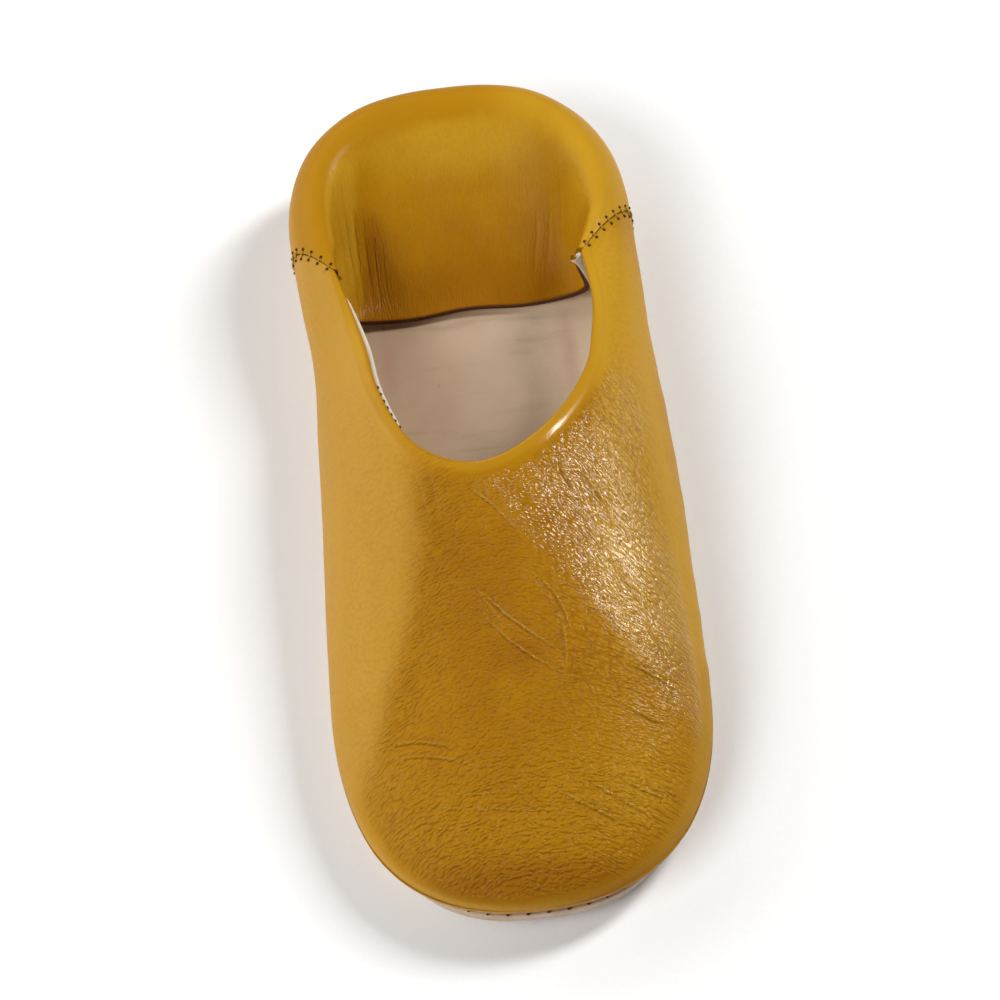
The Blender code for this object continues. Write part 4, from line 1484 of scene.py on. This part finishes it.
def seamStitches():
    # whip stitches across both seams: each leaves a hole in the heel piece and goes down into one in
    # the wing, a little further on
    look = stitchLook
    crestRow = heelLook["footRows"] + heelLook["foldRows"]
    starts, ends, ups = [], [], []
    heelWall = heelBody[: crestRow + 1]
    heelNormals = gridNormals(heelWall)
    for heelIn, upperIn in look["seamColumns"]:
        heelRun, upperRun = runLengths(heelWall[:, heelIn]), runLengths(upperBody[:, upperIn])
        count = int(heelRun[-1] / look["seamStep"])
        share = (np.arange(count) + look["seamFirst"]) / count
        starts.append(atPlaces(share * heelRun[-1], heelRun, heelWall[:, heelIn]))
        ups.append(atPlaces(share * heelRun[-1], heelRun, heelNormals[:, heelIn]))
        shifted = np.clip(share - look["seamSlant"] / count, 0.0, 1.0) * upperRun[-1]
        ends.append(atPlaces(shifted, upperRun, upperBody[:, upperIn]))
    starts, ends, ups = np.vstack(starts), np.vstack(ends), unit(np.vstack(ups))
    piece = threadRow("seamStitches", starts, ends, ups, look["seam"], ochreThread)
    # the holes show as short dark ends
    way = unit(ends - starts)
    beyond = np.vstack((-way, way))
    holes = np.vstack((starts, ends)) + beyond * look["holeBeyond"]
    piece = threadRow("seamHoles", holes, holes + beyond * look["holeLength"], np.vstack((ups, ups)),
                      look["hole"], brownThread)


def liningStitches():
    # dark points on the topline's roll where the lining is sewn under it, near the throat's front
    look = stitchLook
    edge = upperWhole[len(upperBody) + upperLook["rollRows"] // 2]
    shown = (edge[:, 0] < planMiddle[0]) & (edge[:, 1] > look["liningFrom"]) & (edge[:, 1] < look["liningTo"])
    edge = edge[shown]
    outward = edge - (upperBody[-1, shown] - upperNormal[-1, shown] * upperLook["roll"])
    run = runLengths(edge)
    places = np.arange(look["liningStep"] / 2.0, run[-1], look["liningStep"])
    spots = atPlaces(places, run, edge)
    ups = unit(atPlaces(places, run, outward))
    half = unit(atPlaces(places, run, np.gradient(edge, axis=0))) * look["liningHalf"]
    piece = threadRow("liningStitches", spots - half, spots + half, ups, look["lining"], brownThread)


def threadEnd():
    # the white tuft at the big-toe side, where the seam's thread is tied off
    look = stitchLook
    turns, reach = np.array(look["tuftTurns"]), np.array(look["tuftReach"])
    curl = look["tuftRise"] * np.cos(turns * 3.0)
    ends = np.column_stack((np.cos(turns) * reach, np.sin(turns) * reach, curl))
    starts = np.tile(upperWhole[look["tuftRow"], -1] + look["tuftFrom"], (len(turns), 1))
    ups = np.tile(look["tuftUp"], (len(turns), 1))
    piece = threadRow("threadEnd", starts, starts + ends, ups, look["tuft"], paleThread)


soleStitches()
seamStitches()
liningStitches()
threadEnd()
print("stitches made")


# floor, lights and camera

studio = {
    "target": (0.0010, -0.00725, 0.0200),
    "distance": 1.10,
    "elevation": 57.0,  # degrees
    "roll": -7.0,
    "lens": 140.6,
    "sensor": 36.0,
    "floorHalf": 3,
    "floorColours": ((0.88, 0.88, 0.875, 1.0), (0.92, 0.92, 0.915, 1.0)),
    "floorFleck": 900.0,
    "skyLight": 0.40,
    # direction from the shoe, distance, width and height in metres, power in watts
    "lights": {
        "keyRight": ((0.64, 0.28, 0.71), 1.3, 0.24, 0.56, 14.0),
        "sideLeft": ((-0.86, 0.36, 0.36), 1.5, 1.5, 0.9, 10.5),
        "frontLeft": ((-0.60, -0.52, 0.75), 1.8, 1.2, 0.9, 22.0),
        "backTop": ((-0.30, 0.80, 0.60), 1.7, 1.0, 0.6, 4.0),
    },
}


def addLight(name, direction, distance, width, height, power):
    # an area light that points at the target
    light = bpy.data.lights.new(name, "AREA")
    light.shape = "RECTANGLE"
    light.size, light.size_y, light.energy = width, height, power
    lamp = bpy.data.objects.new(name, light)
    target = Vector(studio["target"])
    lamp.location = Vector(direction).normalized() * distance + target
    lamp.rotation_euler = (target - lamp.location).to_track_quat("-Z", "Y").to_euler()
    bpy.context.scene.collection.objects.link(lamp)


def buildStudio():
    # the camera looks at the target from its elevation, turned about its own axis by the roll
    look = studio
    elevation, roll = math.radians(look["elevation"]), math.radians(look["roll"])
    back = Vector((0.0, -math.cos(elevation), math.sin(elevation)))
    right = Vector((1.0, 0.0, 0.0))
    up = back.cross(right)
    turnedRight = math.cos(roll) * right + math.sin(roll) * up
    turnedUp = -math.sin(roll) * right + math.cos(roll) * up
    camera = bpy.data.cameras.new("camera")
    camera.lens = look["lens"]
    camera.sensor_width = look["sensor"]
    holder = bpy.data.objects.new("camera", camera)
    turn = Matrix((turnedRight, turnedUp, back)).transposed().to_4x4()
    holder.matrix_world = Matrix.Translation(Vector(look["target"]) + back * look["distance"]) @ turn
    bpy.context.scene.collection.objects.link(holder)
    bpy.context.scene.camera = holder

    half = look["floorHalf"]
    mesh = bpy.data.meshes.new("floor")
    corners = [(-half, -half, 0), (half, -half, 0), (half, half, 0), (-half, half, 0)]
    mesh.from_pydata(corners, [], [(0, 1, 2, 3)])
    material, shader, place = newMaterial("floorPaper", roughness=0.9, specular=0.1)
    feed(shader, BaseColor=mixColour(noise(place, look["floorFleck"]), *look["floorColours"]))
    mesh.materials.append(material)
    floor = bpy.data.objects.new("floor", mesh)
    bpy.context.scene.collection.objects.link(floor)

    world = bpy.data.worlds.new("studio")
    world.use_nodes = True
    sky = world.node_tree.nodes["Background"]
    sky.inputs["Color"].default_value = (1.0, 1.0, 1.0, 1.0)
    sky.inputs["Strength"].default_value = look["skyLight"]
    for name, light in look["lights"].items():
        addLight(name, *light)
    bpy.context.scene.view_settings.view_transform = "Standard"


buildStudio()
print("studio made")
